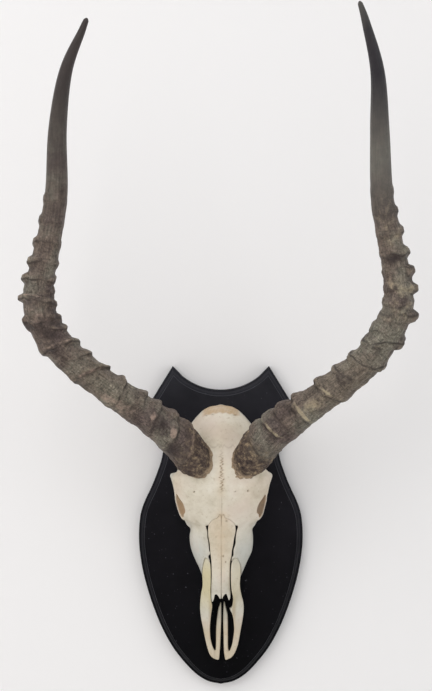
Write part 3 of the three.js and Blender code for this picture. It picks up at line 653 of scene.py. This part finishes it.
# the rough nape, and stains
nape = (unit((z - 126.4 + 0.011 * x**2 + 0.5 * np.sin(x * 0.9)) / 1.5)
        * unit((21 - np.abs(x)) / 4) * unit((out - 26 - 0.03 * x**2) / 12))
nape_grain = 0.13 + 0.09 * np.sin(x * 1.3 + z) * np.sin(z * 2.1 - x * 0.6)
nape_pits = (spot(x, z, -15.5, 124.2, 1.2, 0.7) + spot(x, z, 14.5, 124.6, 1.8, 0.8)
             + spot(x, z, -9, 125.4, 1.6, 0.6))
tan = (0.3 * spot(x, z, 0, 108, 24, 12) + 0.45 * spot(x, z, 2, 20, 9, 7)
       + 0.3 * spot(x, z, -46, 48, 5, 14) + 0.12 * spot(x, z, 46, 48, 5, 14) + 0.4 * spot(x, z, 0, 60, 5, 26))
suture = spot(x, z, 21.6, -46, 0.7, 10) * (x > 0)
brown = (0.85 * seam + 0.3 * line + 0.22 * crown_seam + 0.12 * np.exp(-(near_nose / 0.7) ** 2) * (z > 9)
         + 0.6 * nape_pits + 0.6 * suture) * front + nape * unit(nape_grain)
# painted shade: deep inside the nose the bone is painted near black
deep_in_nose = (outline_distance(NOSE_TROUGH, x, z, 3) < 1.2) & (out < face_out(x, z) - 2.6) & (z < 9)
in_orbit = 0.0
for side in (-1, 1):
    at_x, at_out, at_z = (c - ORBIT_DEEP * a for c, a in zip(ORBIT_CENTRE, ORBIT_AXIS))
    away = np.sqrt((x - side * at_x) ** 2 + (out - at_out) ** 2 + (z - at_z) ** 2)
    within = unit((ORBIT_RADIUS + 2.4 - away) / 1.4)
    in_orbit = in_orbit + within
    # painted shade: the inner, deeper half of each socket is painted brown, more so towards the middle
    brown = brown + 0.75 * unit((side * at_x - side * x) / ORBIT_RADIUS - 0.1) * within
give_values(
    skull, tan=unit(tan * front + nape + in_orbit), dark=unit(brown + deep_in_nose),
    cool=unit(0.75 * (1 - front) * (1 - nape)
              + np.clip((14 - z) / 40, 0, 0.8) * unit(np.abs(x) / 22)))
bone_material = bone()
use_material(skull, bone_material)
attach(skull, "root")
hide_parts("skull")

# ------------------------------------------------------------------ nasal bones
# Two long thin plates that roof the nose. They are bedded in the forehead at the root, meet each
# other along the middle, end in a notch and a prong, and stand free of the cheek bone between.
FINE_VOXEL = 0.5
FINE_ROOM = 3              # between an outline and the edge of its box of voxels
NASAL_THICK = 2.6
NASAL_CORNER = 0.35


def shape_grid(shape, out_range, z_range):
    """A box of fine voxels about an outline: its lowest corner and its coordinates."""
    across = [x for x, z in shape]
    low, high = zip((min(across) - FINE_ROOM, max(across) + FINE_ROOM), out_range, z_range)
    return low, field_grid(low, high, FINE_VOXEL)


def slab(plan, plate, corner):
    """The shape within both limits, its edges rounded to this radius."""
    a, b = plan + corner, plate + corner
    return np.sqrt(np.maximum(a, 0) ** 2 + np.maximum(b, 0) ** 2) + np.minimum(np.maximum(a, b), 0) - corner


for side, shape in NASALS.items():
    low, grid = shape_grid(shape, (46.0, 92.0), (-80.0, 21.0))
    gx, gout, gz = grid
    top = face_out(gx[:, :, 0], gz[0])[:, None, :] + 0.5 * unit((5 - gz) / 20) * (1 - (gx / 14) ** 2)
    thin = NASAL_THICK / 2 * (1 - 0.35 * unit((-55 - gz) / 20))
    field = slab(plan_distance(shape, grid), np.abs(gout - top + thin) - thin, NASAL_CORNER)
    nasal = skin(f"nasal_bone_{side}", field, low, FINE_VOXEL)
    x, out, z = points_of(nasal)
    edge = outline_distance(shape, x, z)
    holes = (spot(x, z, 5, -31, 0.6, 0.9) + 0.8 * spot(x, z, 2.3, -24.5, 0.9, 1.1)
             + 0.6 * spot(x, z, 5.8, 14, 1.2, 1.2))
    seams = 0.12 * np.exp(-((x - 0.35) / 0.5) ** 2) + 0.1 * np.exp(-(edge / 0.6) ** 2) * (z > 8)
    give_values(
        nasal, dark=np.clip(holes + seams, 0, 0.8), cool=0.5 * unit((-40 - z) / 30),
        tan=unit(0.5 * unit((z + 50) / 55) * (1 - 0.5 * (np.abs(x) / 13) ** 2)
                 + 0.25 * spot(x, z, 1, -35, 4, 40)))
    use_material(nasal, bone_material)
    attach(nasal, "root")
    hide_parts(f"nasal_{side}")

# ------------------------------------------------------------------ premaxillae
# The two forked bones of the snout. Each has a flat process that runs up beside the nasals, a
# stout outer bar and a thin inner one, joined at the tip, with an open slot between the bars.
SNOUT_MIDLINE = 1.5
# z, out of the outer bar's middle, its half depth, its tilt, out of the inner bar's middle
BAR_ROWS = [(-20, 67, 1.6, 0.9, 33), (-34, 62.5, 1.8, 1.1, 33), (-46, 56, 2.6, 1.3, 33),
            (-58, 49.5, 3.8, 1.4, 33), (-70, 43, 5.2, 1.2, 33), (-84, 38, 5.6, 0.8, 31.5),
            (-97, 34, 5, 0.5, 30), (-109, 31, 4.4, 0.35, 29), (-121, 29, 3.8, 0.25, 28),
            (-132, 27.4, 3.2, 0.2, 27), (-139, 26.6, 2.8, 0.15, 26.6), (-150, 26, 2.4, 0.1, 26)]
INNER_DEPTH = 1.9
YELLOW = {"left": 0.85, "right": 0.35}      # how yellow the flat process is
for side, shape in PREMAXILLAE.items():
    low, grid = shape_grid(shape, (19.0, 74.0), (-147.0, -23.0))
    gx, gout, gz = grid
    away = np.abs(gx - SNOUT_MIDLINE)
    outer, deep, tilt, inner = (bend(gz[0, 0], BAR_ROWS, k)[None, None, :] for k in range(1, 5))
    share = unit((away - 6.6) / 3)
    share = share * share * (3 - 2 * share)
    middle = inner + (outer - tilt * (away - 16.5) - inner) * share
    half_deep = INNER_DEPTH + (deep - INNER_DEPTH) * share
    corner = 0.3 + 1.3 * unit((-50 - gz) / 25)
    field = slab(plan_distance(shape, grid), np.abs(gout - middle) - half_deep, corner)
    field = np.maximum(field, BOARD_FRONT - gout)
    snout = skin(f"premaxilla_bone_{side}", field, low, FINE_VOXEL, smoothing=2)
    x, out, z = points_of(snout)
    inner_edge = unit(1 - np.abs(np.abs(x - SNOUT_MIDLINE) - 12.5) / 3)
    up_process = unit((z + 94) / 32) * unit((-18 - z) / 26)
    below = unit((-88 - z) / 25)
    give_values(
        snout, tan=unit(0.45 * inner_edge * spot(x, z, x, -92, 9, 24) + 0.4 * below),
        olive=unit(YELLOW[side] * up_process + 0.35 * inner_edge * spot(x, z, x, -80, 9, 12)
                   + 0.12 * below),
        dark=np.clip(0.34 * inner_edge * spot(x, z, x, -84, 9, 12) + 0.07 * below, 0, 0.8),
        cool=unit(0.55 - 0.5 * up_process - 0.3 * below))
    use_material(snout, bone_material)
    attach(snout, "root")
    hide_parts(f"premaxilla_{side}")

# ------------------------------------------------------------------ horns
# Two sheaths of horn, each grown over a bony core as a stack of nested cups, so that every spell
# of growth ends in a ring. Low down the rings are steep towards the skull; round the bend they
# stand out as knobs on the outer side. The last third is smooth and dark.
HORN_LINES = {   # x, out, z, radius
    "left": [
        (-26, 86, 78, 20), (-56, 111, 112, 18.4), (-101, 136, 146, 15.9), (-144, 155, 180, 15.6),
        (-173, 168, 214, 15.6), (-181, 177, 249, 14.9), (-171.4, 187, 296, 12.4), (-161.6, 199, 345, 11.1),
        (-158.4, 216, 407, 8.9), (-149, 233, 460, 6.3), (-132, 247, 497, 3.4), (-127, 251, 508, 2.3)],
    "right": [
        (29, 86, 78, 20), (55, 111, 110, 18.4), (101, 136, 145, 15.9), (141, 155, 179, 15.7),
        (169, 168, 218, 15.6), (176, 177, 252, 14.8), (166, 187, 304, 12.4), (157, 199, 345, 11.1),
        (153, 216, 407, 9.4), (149, 233, 460, 6.8), (137, 247, 503, 4), (130, 251, 524, 2.1)],
}
# Rings: how far along on the inner side and on the outer side, lead of the front, how far the
# ring stands out on the inner side, the outer side and the front, and which side of it holds its
# groove and painted shade, 1 for the skull's side and -1 for the tip's, with a painted highlight opposite.
HORN_RINGS = {
    "left": [
        (23, 12, -14, 1.9, 0.2, 0.9, 1), (40, 19, -8, 2.8, 0.4, 1.5, 1), (58, 43, 0, 3.2, 0.6, 1.6, 1),
        (77, 65, 8, 3.2, 0.5, 1.3, 1), (95, 92, 4, 3.6, 0.2, 0.7, 1), (124, 120, 1, 3.8, 0.6, 1.3, 1),
        (146, 162, 12, 3.6, 1.8, 2.9, 1), (171, 184, 7, 3.0, 0.2, 0.5, 1), (191, 203, 8, 2.8, 3.0, 2.7, 1),
        (210, 233, 5, 2.6, 4.3, 0.9, 1), (227, 243, 5, 2.4, 0.2, 0.5, 1), (247, 253, 7, 2.4, 4.2, 0.7, 1),
        (262, 262, 2, 1.6, 0.2, 0.3, 1), (276, 271, 1, 2.2, 5.0, 1.3, 1), (291, 288, 3, 1.6, 4.0, 1.1, 1),
        (311, 309, 3, 0.9, 3.2, 0.7, 1), (331, 331, 2, 0.4, 2.1, 0.5, 1), (352, 353, 2, 0.2, 1.3, 0.3, 1)],
    "right": [
        (20, 12, -12, 1.9, 0.2, 0.8, 1), (37, 34, -6, 3.6, 0.3, 1.0, 1), (53, 60, -1, 3.8, 0.6, 1.8, 1),
        (70, 74, -3, 3.6, 0.2, 0.7, 1), (91, 92, -1, 4.4, 0.6, 2.2, 1), (119, 133, 0, 3.8, 1.9, 1.6, 1),
        (144, 156, 0, 3.2, 0.5, 0.8, -1), (168, 178, -2, 3.0, 3.4, 1.5, -1),
        (188, 210, -2, 2.6, 5.2, 1.5, -1), (208, 222, -1, 1.7, 0.2, 0.4, 1),
        (224, 233, 0, 1.3, 5.8, 1.1, -1), (242, 244, 2, 1.2, 0.6, 0.7, 1), (258, 255, 3, 1.1, 5.8, 0.9, 1),
        (276, 273, 3, 0.8, 5.0, 0.8, -1), (293, 292, 2, 0.9, 4.4, 0.8, 1), (314, 313, 1, 0.6, 2.9, 0.6, 1),
        (337, 336, 1, 0.3, 2.2, 0.4, 1), (356, 356, 1, 0.2, 0.9, 0.2, 1)],
}
# The lower edge: how far along on the inner side and on the outer side, lead of the front
HORN_RIM = {"left": (3, 8, -17.5), "right": (3, 9, -22.5)}
# How quickly a ring falls away, as (towards the skull, towards the tip): low down, then past the bend
RING_FALL = {"left": [(2.6, 6.5), (4.8, 2.2)], "right": [(2.6, 8.0), (4.0, 2.8)]}
RING_CREST = (0.9, 1.9)     # half width of its rounded top, on the face and on the outer side
STRAIGHT_TO, BENT_FROM = 150, 240
RINGS_END = 370             # along, where the smooth part begins
# Pale places (above 0), partly from wear and partly a painted highlight along a ring's crest, and stained
# places (below 0): along, on the line of the rings, degrees round from the outer side, half length, half
# width in degrees, strength.
HORN_SPOTS = {
    "left": [(73, 100, 3, 11, 1.2), (51.5, 97, 3, 14, 1.4), (30.5, 118, 1.0, 44, 1.7),
             (44, 55, 8, 34, -0.9), (62, 96, 6, 26, -0.9), (210, 100, 9, 36, -0.7), (188, 95, 5, 60, -0.4),
             (100, 150, 12, 26, -0.5), (128, 60, 14, 30, 0.3), (105, 70, 14, 40, 0.25),
             (252, 150, 30, 30, -0.45), (232, 80, 16, 60, 0.2), (152, 95, 2, 60, 0.5),
             (198, 95, 2, 50, 0.5), (251, 80, 0.9, 60, 0.5)],
    "right": [(92.5, 84, 1.5, 32, 1.2), (57.5, 90, 1.5, 30, 1.1), (127, 96, 1.4, 34, 0.35),
              (104, 92, 8, 22, 0.25), (112, 80, 16, 50, 0.2), (287, 98, 7, 72, -0.9), (16, 92, 9, 26, -1.0),
              (148, 100, 9, 34, -0.5), (196, 90, 8, 30, -0.5), (3, 120, 5, 30, 0.8),
              (258, 95, 12, 80, 0.25), (306, 90, 12, 90, 0.2), (335, 90, 22, 90, 0.2),
              (234, 90, 16, 70, 0.2)],
}
ROWS, ROUND = 980, 96       # points along a horn and around it
WAVE_COUNT, WAVE_SUM = 16, 2.8      # random waves in a relief, and the usual height of their sum
SLANT_ENDS = 0.8            # share of the length past which the rows stand square to the horn
ROOT_LENGTH = 50            # along, past which the crusted root has ended
CUP_SHIFT = (31, 17)        # how far the grain of each cup is moved from the last one's


def waves(rng, along, angle, size, turns, height):
    """A smooth random relief on the sheath, of about this size along it, up to so many lobes round."""
    total = 0.0
    for _ in range(WAVE_COUNT):
        lobes, pitch = rng.integers(turns[0], turns[1] + 1), rng.normal() * 3 / size
        start = rng.uniform(0, 6.28)
        total = total + np.sin(lobes * angle + pitch * along + start)
    return height * total / WAVE_SUM


def blur_rows(values, reach):
    """The mean of each point's surroundings along the horn."""
    weights = np.exp(-np.linspace(-2, 2, 2 * reach + 1) ** 2)
    weights /= weights.sum()
    padded = np.pad(values, ((reach, reach), (0, 0)), mode="edge")
    return sum(w * padded[k:k + len(values)] for k, w in enumerate(weights))


def horn_sheath(side):
    rng = np.random.default_rng(len(side))
    outward = -1 if side == "left" else 1
    path = smooth_line(HORN_LINES[side], 60)
    step = np.linalg.norm(np.diff(path[:, :3], axis=0), axis=1)
    along_path = np.concatenate([[0], np.cumsum(step)])
    length = along_path[-1]
    rings = np.array(HORN_RINGS[side], float)
    middle = (rings[:, 0] + rings[:, 1]) / 2
    rim_inner, rim_outer, rim_lead = HORN_RIM[side]
    rim_middle = (rim_inner + rim_outer) / 2
    row = np.linspace(rim_middle, length, ROWS)[:, None]
    angle = np.linspace(0, 2 * np.pi, ROUND, endpoint=False)[None, :]
    knots = np.concatenate([[rim_middle], middle, [length * SLANT_ENDS, length]])
    lead = np.interp(row, knots, np.concatenate([[rim_lead], rings[:, 2], [0, 0]]))
    slant = np.interp(row, knots, np.concatenate([[(rim_outer - rim_inner) / 2],
                                                  (rings[:, 1] - rings[:, 0]) / 2, [0, 0]]))
    ragged = waves(rng, 0, angle, 1, (3, 14), 0.7) * np.exp(-(row - rim_middle) / 9)
    s = row + lead * np.sin(angle) + slant * np.cos(angle) + ragged
    centre = np.stack([np.interp(s, along_path, path[:, k]) for k in range(3)], axis=-1)
    tangent = np.gradient(path[:, :3], along_path, axis=0)
    way = np.stack([np.interp(s, along_path, tangent[:, k]) for k in range(3)], axis=-1)
    way /= np.linalg.norm(way, axis=-1, keepdims=True)
    centre = centre + way * (s - np.clip(s, 0, length))[..., None]
    face = np.array([0.0, 1.0, 0.0]) - way * way[..., 1:2]
    face /= np.linalg.norm(face, axis=-1, keepdims=True)
    outer = np.cross(face, way) * outward
    # the rings, each a rounded ridge that wanders and breaks up, and is steeper on one side
    on_outer, on_inner = np.maximum(np.cos(angle), 0) ** 2, np.maximum(-np.cos(angle), 0) ** 2
    on_face = np.sin(angle) ** 2 * np.where(np.sin(angle) > 0, 1, 0.6)
    ridge, shade, cup = np.zeros_like(s), np.zeros_like(s), np.zeros_like(s)
    (low_down, low_up), (high_down, high_up) = RING_FALL[side]
    for at, ring in zip(middle, rings):
        wander = waves(rng, 0, angle, 1, (1, 5), 0.9) + waves(rng, 0, angle, 1, (6, 12), 0.3)
        d = row - at - wander
        broken = np.clip(0.8 + waves(rng, 0, angle, 1, (2, 7), 0.42), 0.1, 1.3)
        height = ring[3] * on_inner + ring[4] * on_outer + ring[5] * on_face * broken
        height = height * (1 + waves(rng, 0, angle, 1, (3, 12), 0.14))
        past = unit((at - STRAIGHT_TO) / (BENT_FROM - STRAIGHT_TO))
        down, up = low_down + (high_down - low_down) * past, low_up + (high_up - low_up) * past
        off = np.maximum(np.abs(d) - RING_CREST[0] - (RING_CREST[1] - RING_CREST[0]) * on_outer * past, 0)
        bulge = height * np.where(d < 0, np.exp(-(off / down) ** 2), np.exp(-(off / up) ** 1.8))
        ridge = np.maximum(ridge, bulge) - 0.22 * height * np.exp(-((d + ring[6] * (down + 2.4)) / 3) ** 2)
        # painted light and shade: a band of painted shade in the crease on each ring's dark side, and a
        # painted highlight just past its crest on the other side
        dark = np.exp(-((ring[6] * d + 2.5) / 1.35) ** 2)
        light = np.exp(-((ring[6] * d - 0.9) / 1.4) ** 2)
        shade = shade + np.clip(height / 2.2, 0, 0.85) * (0.6 * light * broken - 1.05 * dark)
        cup = cup + (ring[6] * d > -2)
    smooth = unit((RINGS_END - s) / 90)
    lumps = waves(rng, s, angle, 24, (0, 4), 0.45) + waves(rng, s, angle, 7, (2, 9), 0.2)
    pebbles = waves(rng, s, angle, 2.6, (10, 26), 0.07)
    grooves = waves(rng, s, angle, 130, (14, 34), 0.12)
    wrinkles = 0.3 * np.sin(2.1 * (row - rim_middle) + waves(rng, 0, angle, 1, (1, 6), 1.4))
    ridge = ridge + wrinkles * np.exp(-((row - rim_middle - 4) / 7) ** 2)
    ridge = ridge + waves(rng, s, angle, 3, (6, 18), 0.3) * np.exp(-((row - rim_middle) / 30) ** 2)
    radius = np.interp(s, along_path, path[:, 3]) - 0.5 * on_inner * smooth
    radius = radius + ridge + (lumps + pebbles) * smooth + grooves * (0.35 + 0.65 * smooth)
    radius = radius - 1.7 * np.exp(-(row - rim_middle) / 3)
    radius = radius * np.clip((length - s) / 2.6, 0.0, 1) ** 0.5 + 0.02
    points = centre + radius[..., None] * (outer * np.cos(angle)[..., None] + face * np.sin(angle)[..., None])
    points[..., 1] *= -1
    count = ROWS * ROUND
    vertices = np.vstack([points.reshape(-1, 3), points[0].mean(axis=0), points[-1].mean(axis=0)]) * MM
    steps = [(k, (k + 1) % ROUND) for k in range(ROUND)]
    quads = [(r + a, r + b, r + b + ROUND, r + a + ROUND) for r in range(0, count - ROUND, ROUND)
             for a, b in steps]
    caps = [(count, b, a) for a, b in steps]
    caps += [(count + 1, a + count - ROUND, b + count - ROUND) for a, b in steps]
    sheath = new_piece(f"horn_sheath_{side}", vertices, quads + caps)
    face_outwards()
    bpy.ops.object.shade_smooth()
    spots = 0.0
    for at, degrees, long, wide, strength in HORN_SPOTS[side]:
        turn_away = (np.degrees(angle) - degrees + 180) % 360 - 180
        spots = spots + strength * np.exp(-((row - at) / long) ** 2 - (turn_away / wide) ** 2)
    proud = ridge - blur_rows(ridge, 14)
    for name, numbers, ends in [
            ("proud", 0.5 + proud / 3.2, (0, 0)), ("shade", 0.5 + shade / 2.4, (0, 0)),
            ("spots", 0.5 + spots / 2, (0, 0)), ("along", s / length, (0, 1)),
            ("from_rim", (row - rim_middle) / ROOT_LENGTH + 0 * s, (0, 1))]:
        give_values(sheath, **{name: np.concatenate([numbers.ravel(), ends])})
    # its own place for the grain of each cup, so that the grain breaks off at every ring
    straight = np.stack([np.cos(angle) * radius + CUP_SHIFT[0] * cup,
                         np.sin(angle) * radius + CUP_SHIFT[1] * cup, s], axis=-1).reshape(-1, 3) * MM
    straight = np.vstack([straight, [[0, 0, 0], [0, 0, length * MM]]]).astype(np.float32)
    layer = sheath.data.attributes.new("straight", "FLOAT_VECTOR", "POINT")
    layer.data.foreach_set("vector", straight.ravel())
    return sheath


def horn_surface(side):
    """Weathered horn: grey-brown with olive and purple patches, grooved lengthwise, pale with wear and
    painted highlight on the rings, painted shade in the creases, dark at the root and at the tip."""
    coat = Coat(f"horn_{side}", 0.5, 0.3)
    place, straight = coat.place(), coat.value("straight", "Vector")
    along, proud, shade, from_rim = (coat.value(name) for name in ("along", "proud", "shade", "from_rim"))
    lengthwise = coat.stretched(straight, (1, 1, 0.06))
    fibres = coat.noise(lengthwise, 900, 3, 0.65)
    streaks = coat.noise(lengthwise, 360, 4, 0.65)
    bent = coat.node("ShaderNodeVectorMath", {
        0: coat.noise(straight, 150, 2, output="Color"), 1: (0.006,) * 3,
        2: coat.stretched(straight, (0.25, 0.25, 1))}, operation="MULTIPLY_ADD")
    cracks = coat.noise(bent.outputs[0], 560, 3, 0.7)
    blotches = coat.noise(place, 125, 6, 0.72)
    body = coat.ramp(coat.noise(place, 21, 4, 0.6), [
        (0.34, linear(82, 69, 63)), (0.46, linear(108, 95, 85)),
        (0.56, linear(117, 110, 98)), (0.68, linear(124, 120, 106))])
    body = coat.over(body, coat.noise(place, 34, 5, 0.65), [(0.48, 0), (0.62, 0.75)], linear(91, 78, 74))
    body = coat.over(body, along, [(0.17, 0), (0.22, 0.4), (0.3, 0.4), (0.35, 0)], linear(126, 117, 101))
    body = coat.times(body, coat.ramp(blotches, [(0.3, 0.62), (0.5, 1), (0.7, 1.32)]))
    body = coat.times(body, coat.ramp(streaks, [
        (0.32, (0.76, 0.74, 0.72)), (0.5, 1), (0.7, (1.16, 1.15, 1.12))]))
    # crossways crackle and grit, which fade towards the tip, and fine lines lengthwise
    ringed = coat.ramp(along, [(0.0, 1), (0.5, 0.9), (0.7, 0.45), (0.8, 0.1)])
    body = coat.times(body, coat.ramp(cracks, [(0.36, 0.5), (0.46, 0.96), (0.6, 1.1), (0.72, 1.4)]), ringed)
    grit = coat.noise(straight, 480, 3, 0.7)
    body = coat.times(body, coat.ramp(grit, [(0.32, 0.62), (0.5, 1), (0.68, 1.4)]), ringed)
    body = coat.times(body, coat.ramp(fibres, [(0.34, 0.68), (0.6, 1.14)]))
    # paler where it stands proud, partly from wear and partly a painted highlight; a painted highlight on the
    # lit side of each ring; painted shade on each ring's dark side and in the creases
    rubbed_and_highlit = coat.over(body, blotches, [(0.38, 0.1), (0.62, 1)], linear(156, 142, 118))
    body = coat.over(body, proud, [(0.58, 0), (1.0, 0.35)], rubbed_and_highlit)
    body = coat.over(body, shade, [(0.56, 0), (0.85, 0.4)], rubbed_and_highlit)
    body = coat.over(body, shade, [(0.1, 0.85), (0.46, 0)], linear(46, 38, 34))
    body = coat.over(body, proud, [(0.2, 0.6), (0.45, 0)], linear(54, 46, 41))
    # single pale places, partly from wear and partly a painted highlight along a ring's crest, and stained
    # places, with uneven edges
    cream = linear(186, 160, 144) if side == "left" else linear(198, 182, 150)
    wear_and_highlight = coat.over(body, blotches, [(0.36, 0.2), (0.56, 1)], cream)
    uneven = coat.node("ShaderNodeMath", {0: blotches, 1: 0.5, 2: coat.value("spots")},
                       operation="MULTIPLY_ADD").outputs[0]
    body = coat.over(body, uneven, [(0.84, 0), (1.0, 0.6)], wear_and_highlight)
    body = coat.over(body, uneven, [(0.32, 0.9), (0.66, 0)], linear(50, 39, 38))
    # the crusted root, its ragged tan rim, and the tip
    root = coat.ramp(coat.noise(straight, 170, 8, 0.75), [
        (0.36, linear(34, 26, 25)), (0.47, linear(70, 56, 50)),
        (0.56, linear(108, 92, 76)), (0.64, linear(172, 150, 118))])
    body = coat.over(body, from_rim, [(0.0, 1), (0.42, 0.9), (0.75, 0)], root)
    rim = coat.over(body, blotches, [(0.36, 0.35), (0.56, 1)], linear(172, 150, 124))
    rim = coat.times(rim, coat.ramp(cracks, [(0.38, 0.5), (0.5, 1), (0.7, 1.15)]))
    body = coat.over(body, from_rim, [(0.075, 1), (0.13, 0)], rim)
    if side == "left":
        tip, stops = linear(58, 51, 49), [(0.6, 0), (0.78, 0.7), (0.86, 0.95)]
    else:
        tip, stops = linear(38, 34, 40), [(0.74, 0), (0.82, 0.7), (0.87, 0.97), (0.95, 0.9), (1.0, 0.45)]
        body = coat.over(body, along, [(0.58, 0), (0.7, 0.7)], linear(102, 100, 94))
    body = coat.over(body, along, stops, tip)
    for height, distance, strength in [
            (streaks, 0.0007, 0.8), (blotches, 0.0008, 0.6), (cracks, 0.0006, 0.7), (fibres, 0.0003, 0.8)]:
        coat.bump(height, distance, strength)
    return coat.done(body, coat.ramp(along, [(0.0, 0.62), (0.65, 0.52), (0.9, 0.36)]))


for side in ("left", "right"):
    sheath = horn_sheath(side)
    use_material(sheath, horn_surface(side))
    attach(sheath, "root")
    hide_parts(f"horn_{side}")

# ------------------------------------------------------------------ hanger and screws
# A stamped keyhole plate let into the back of the board, its two screws, and the two long
# screws that hold the skull. All are steel with a yellow zinc finish. The screws are countersunk,
# with a cross recess.

# Half reach, half width and depth of the cross, as shares of the head's radius
RECESS = (0.665, 0.182, 0.42)
HEAD_BEVEL, POINT_LENGTH, POINT_RADIUS = 0.15, 3, 0.2


def zinc():
    coat = Coat("yellow_zinc", 0.34)
    coat.surface.inputs["Metallic"].default_value = 1.0
    place = coat.place()
    coat.bump(coat.noise(place, 1500, 2), 0.00003, 0.5)
    return coat.done(coat.ramp(coat.noise(place, 260, 4, 0.6), [
        (0.3, linear(176, 158, 112)), (0.55, linear(205, 190, 150)), (0.75, linear(196, 190, 178))]))


zinc_material = zinc()
use_material(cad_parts["hanger_plate"], zinc_material)
for name, (x, z, head, shank, sunk, length) in SCREWS.items():
    profile = [(head - HEAD_BEVEL, sunk), (head, sunk + HEAD_BEVEL), *under_head(head, shank, sunk),
               (shank, sunk + length - POINT_LENGTH), (POINT_RADIUS, sunk + length)]
    screw = turned(f"{name}_steel", profile, x, z)
    reach, half, deep = (share * head for share in RECESS)
    for wide, high in ((reach, half), (half, reach)):
        bpy.ops.mesh.primitive_cube_add(size=2, location=(x * MM, -sunk * MM, z * MM),
                                        scale=(wide * MM, deep * MM, high * MM))
        cut_away(screw, bpy.context.object)
    use_material(screw, zinc_material)
    bpy.ops.object.shade_smooth_by_angle(angle=math.radians(30))
    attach(screw, "root")
    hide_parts(name)

# ------------------------------------------------------------------ wall, floor and light
# A plain pale wall right behind the board and a floor well below it. Both are clear from behind,
# and the wall has an opening that the board covers, so that its back can be seen and lit.
WALL_HALF, WALL_MIDDLE_Z = 4000, 1200
BEHIND_BOARD = 0.6         # of the wall's face
OPENING_IN = 4             # how far the opening stays inside the board's outline
AIM_AT = (0, -0.1, 0.15)   # what the lamps point to


def pale_surface(name, colour):
    coat = Coat(name, 0.9, 0.2)
    coat.surface.inputs["Base Color"].default_value = colour
    either = coat.node("ShaderNodeMixShader", {
        0: coat.node("ShaderNodeNewGeometry").outputs["Backfacing"], 1: coat.surface.outputs[0],
        2: coat.node("ShaderNodeBsdfTransparent").outputs[0]})
    coat.tree.links.new(either.outputs[0], coat.tree.nodes["Material Output"].inputs["Surface"])
    return coat.material


along_edge = np.roll(outline, -1, axis=0) - np.roll(outline, 1, axis=0)
inward = np.column_stack([-along_edge[:, 1], along_edge[:, 0]])
inward /= np.linalg.norm(inward, axis=1, keepdims=True)
opening = outline + OPENING_IN * inward
corners = np.array([(-1, -1), (1, -1), (1, 1), (-1, 1)]) * WALL_HALF + (0, WALL_MIDDLE_Z)
loops = [[Vector((x, z, 0)) for x, z in loop] for loop in (corners, opening)]
wall = new_piece("wall", [(v.x * MM, BEHIND_BOARD * MM, v.y * MM) for loop in loops for v in loop],
                 tessellate_polygon(loops))
face_outwards()
if wall.data.polygons[0].normal.y > 0:
    wall.data.flip_normals()
use_material(wall, pale_surface("wall_paint", linear(250, 248, 247)))
bpy.ops.mesh.primitive_plane_add(size=8, location=(0, -3.9, -0.42))
floor = bpy.context.object
floor.name = "floor"
use_material(floor, pale_surface("floor_paint", linear(226, 225, 223)))

world = bpy.data.worlds.new("room")
world.use_nodes = True
world.node_tree.nodes["Background"].inputs["Color"].default_value = (0.97, 0.98, 1.0, 1)
world.node_tree.nodes["Background"].inputs["Strength"].default_value = 0.65
bpy.context.scene.world = world
for name, at, size, watts, colour in [("ceiling_light", (-1.1, -1.8, 1.2), 2.0, 20, (1, 0.985, 0.975)),
                                      ("window_light", (2.4, -1.8, 0.6), 1.8, 9, (0.92, 0.96, 1.0))]:
    bpy.ops.object.light_add(type="AREA", location=at)
    lamp = bpy.context.object
    lamp.name = name
    lamp.data.size = size
    lamp.data.energy = watts
    lamp.data.color = colour
    aim = np.array(AIM_AT) - np.array(at)
    lamp.rotation_euler = (math.atan2(math.hypot(aim[0], aim[1]), -aim[2]), 0, math.atan2(-aim[0], aim[1]))
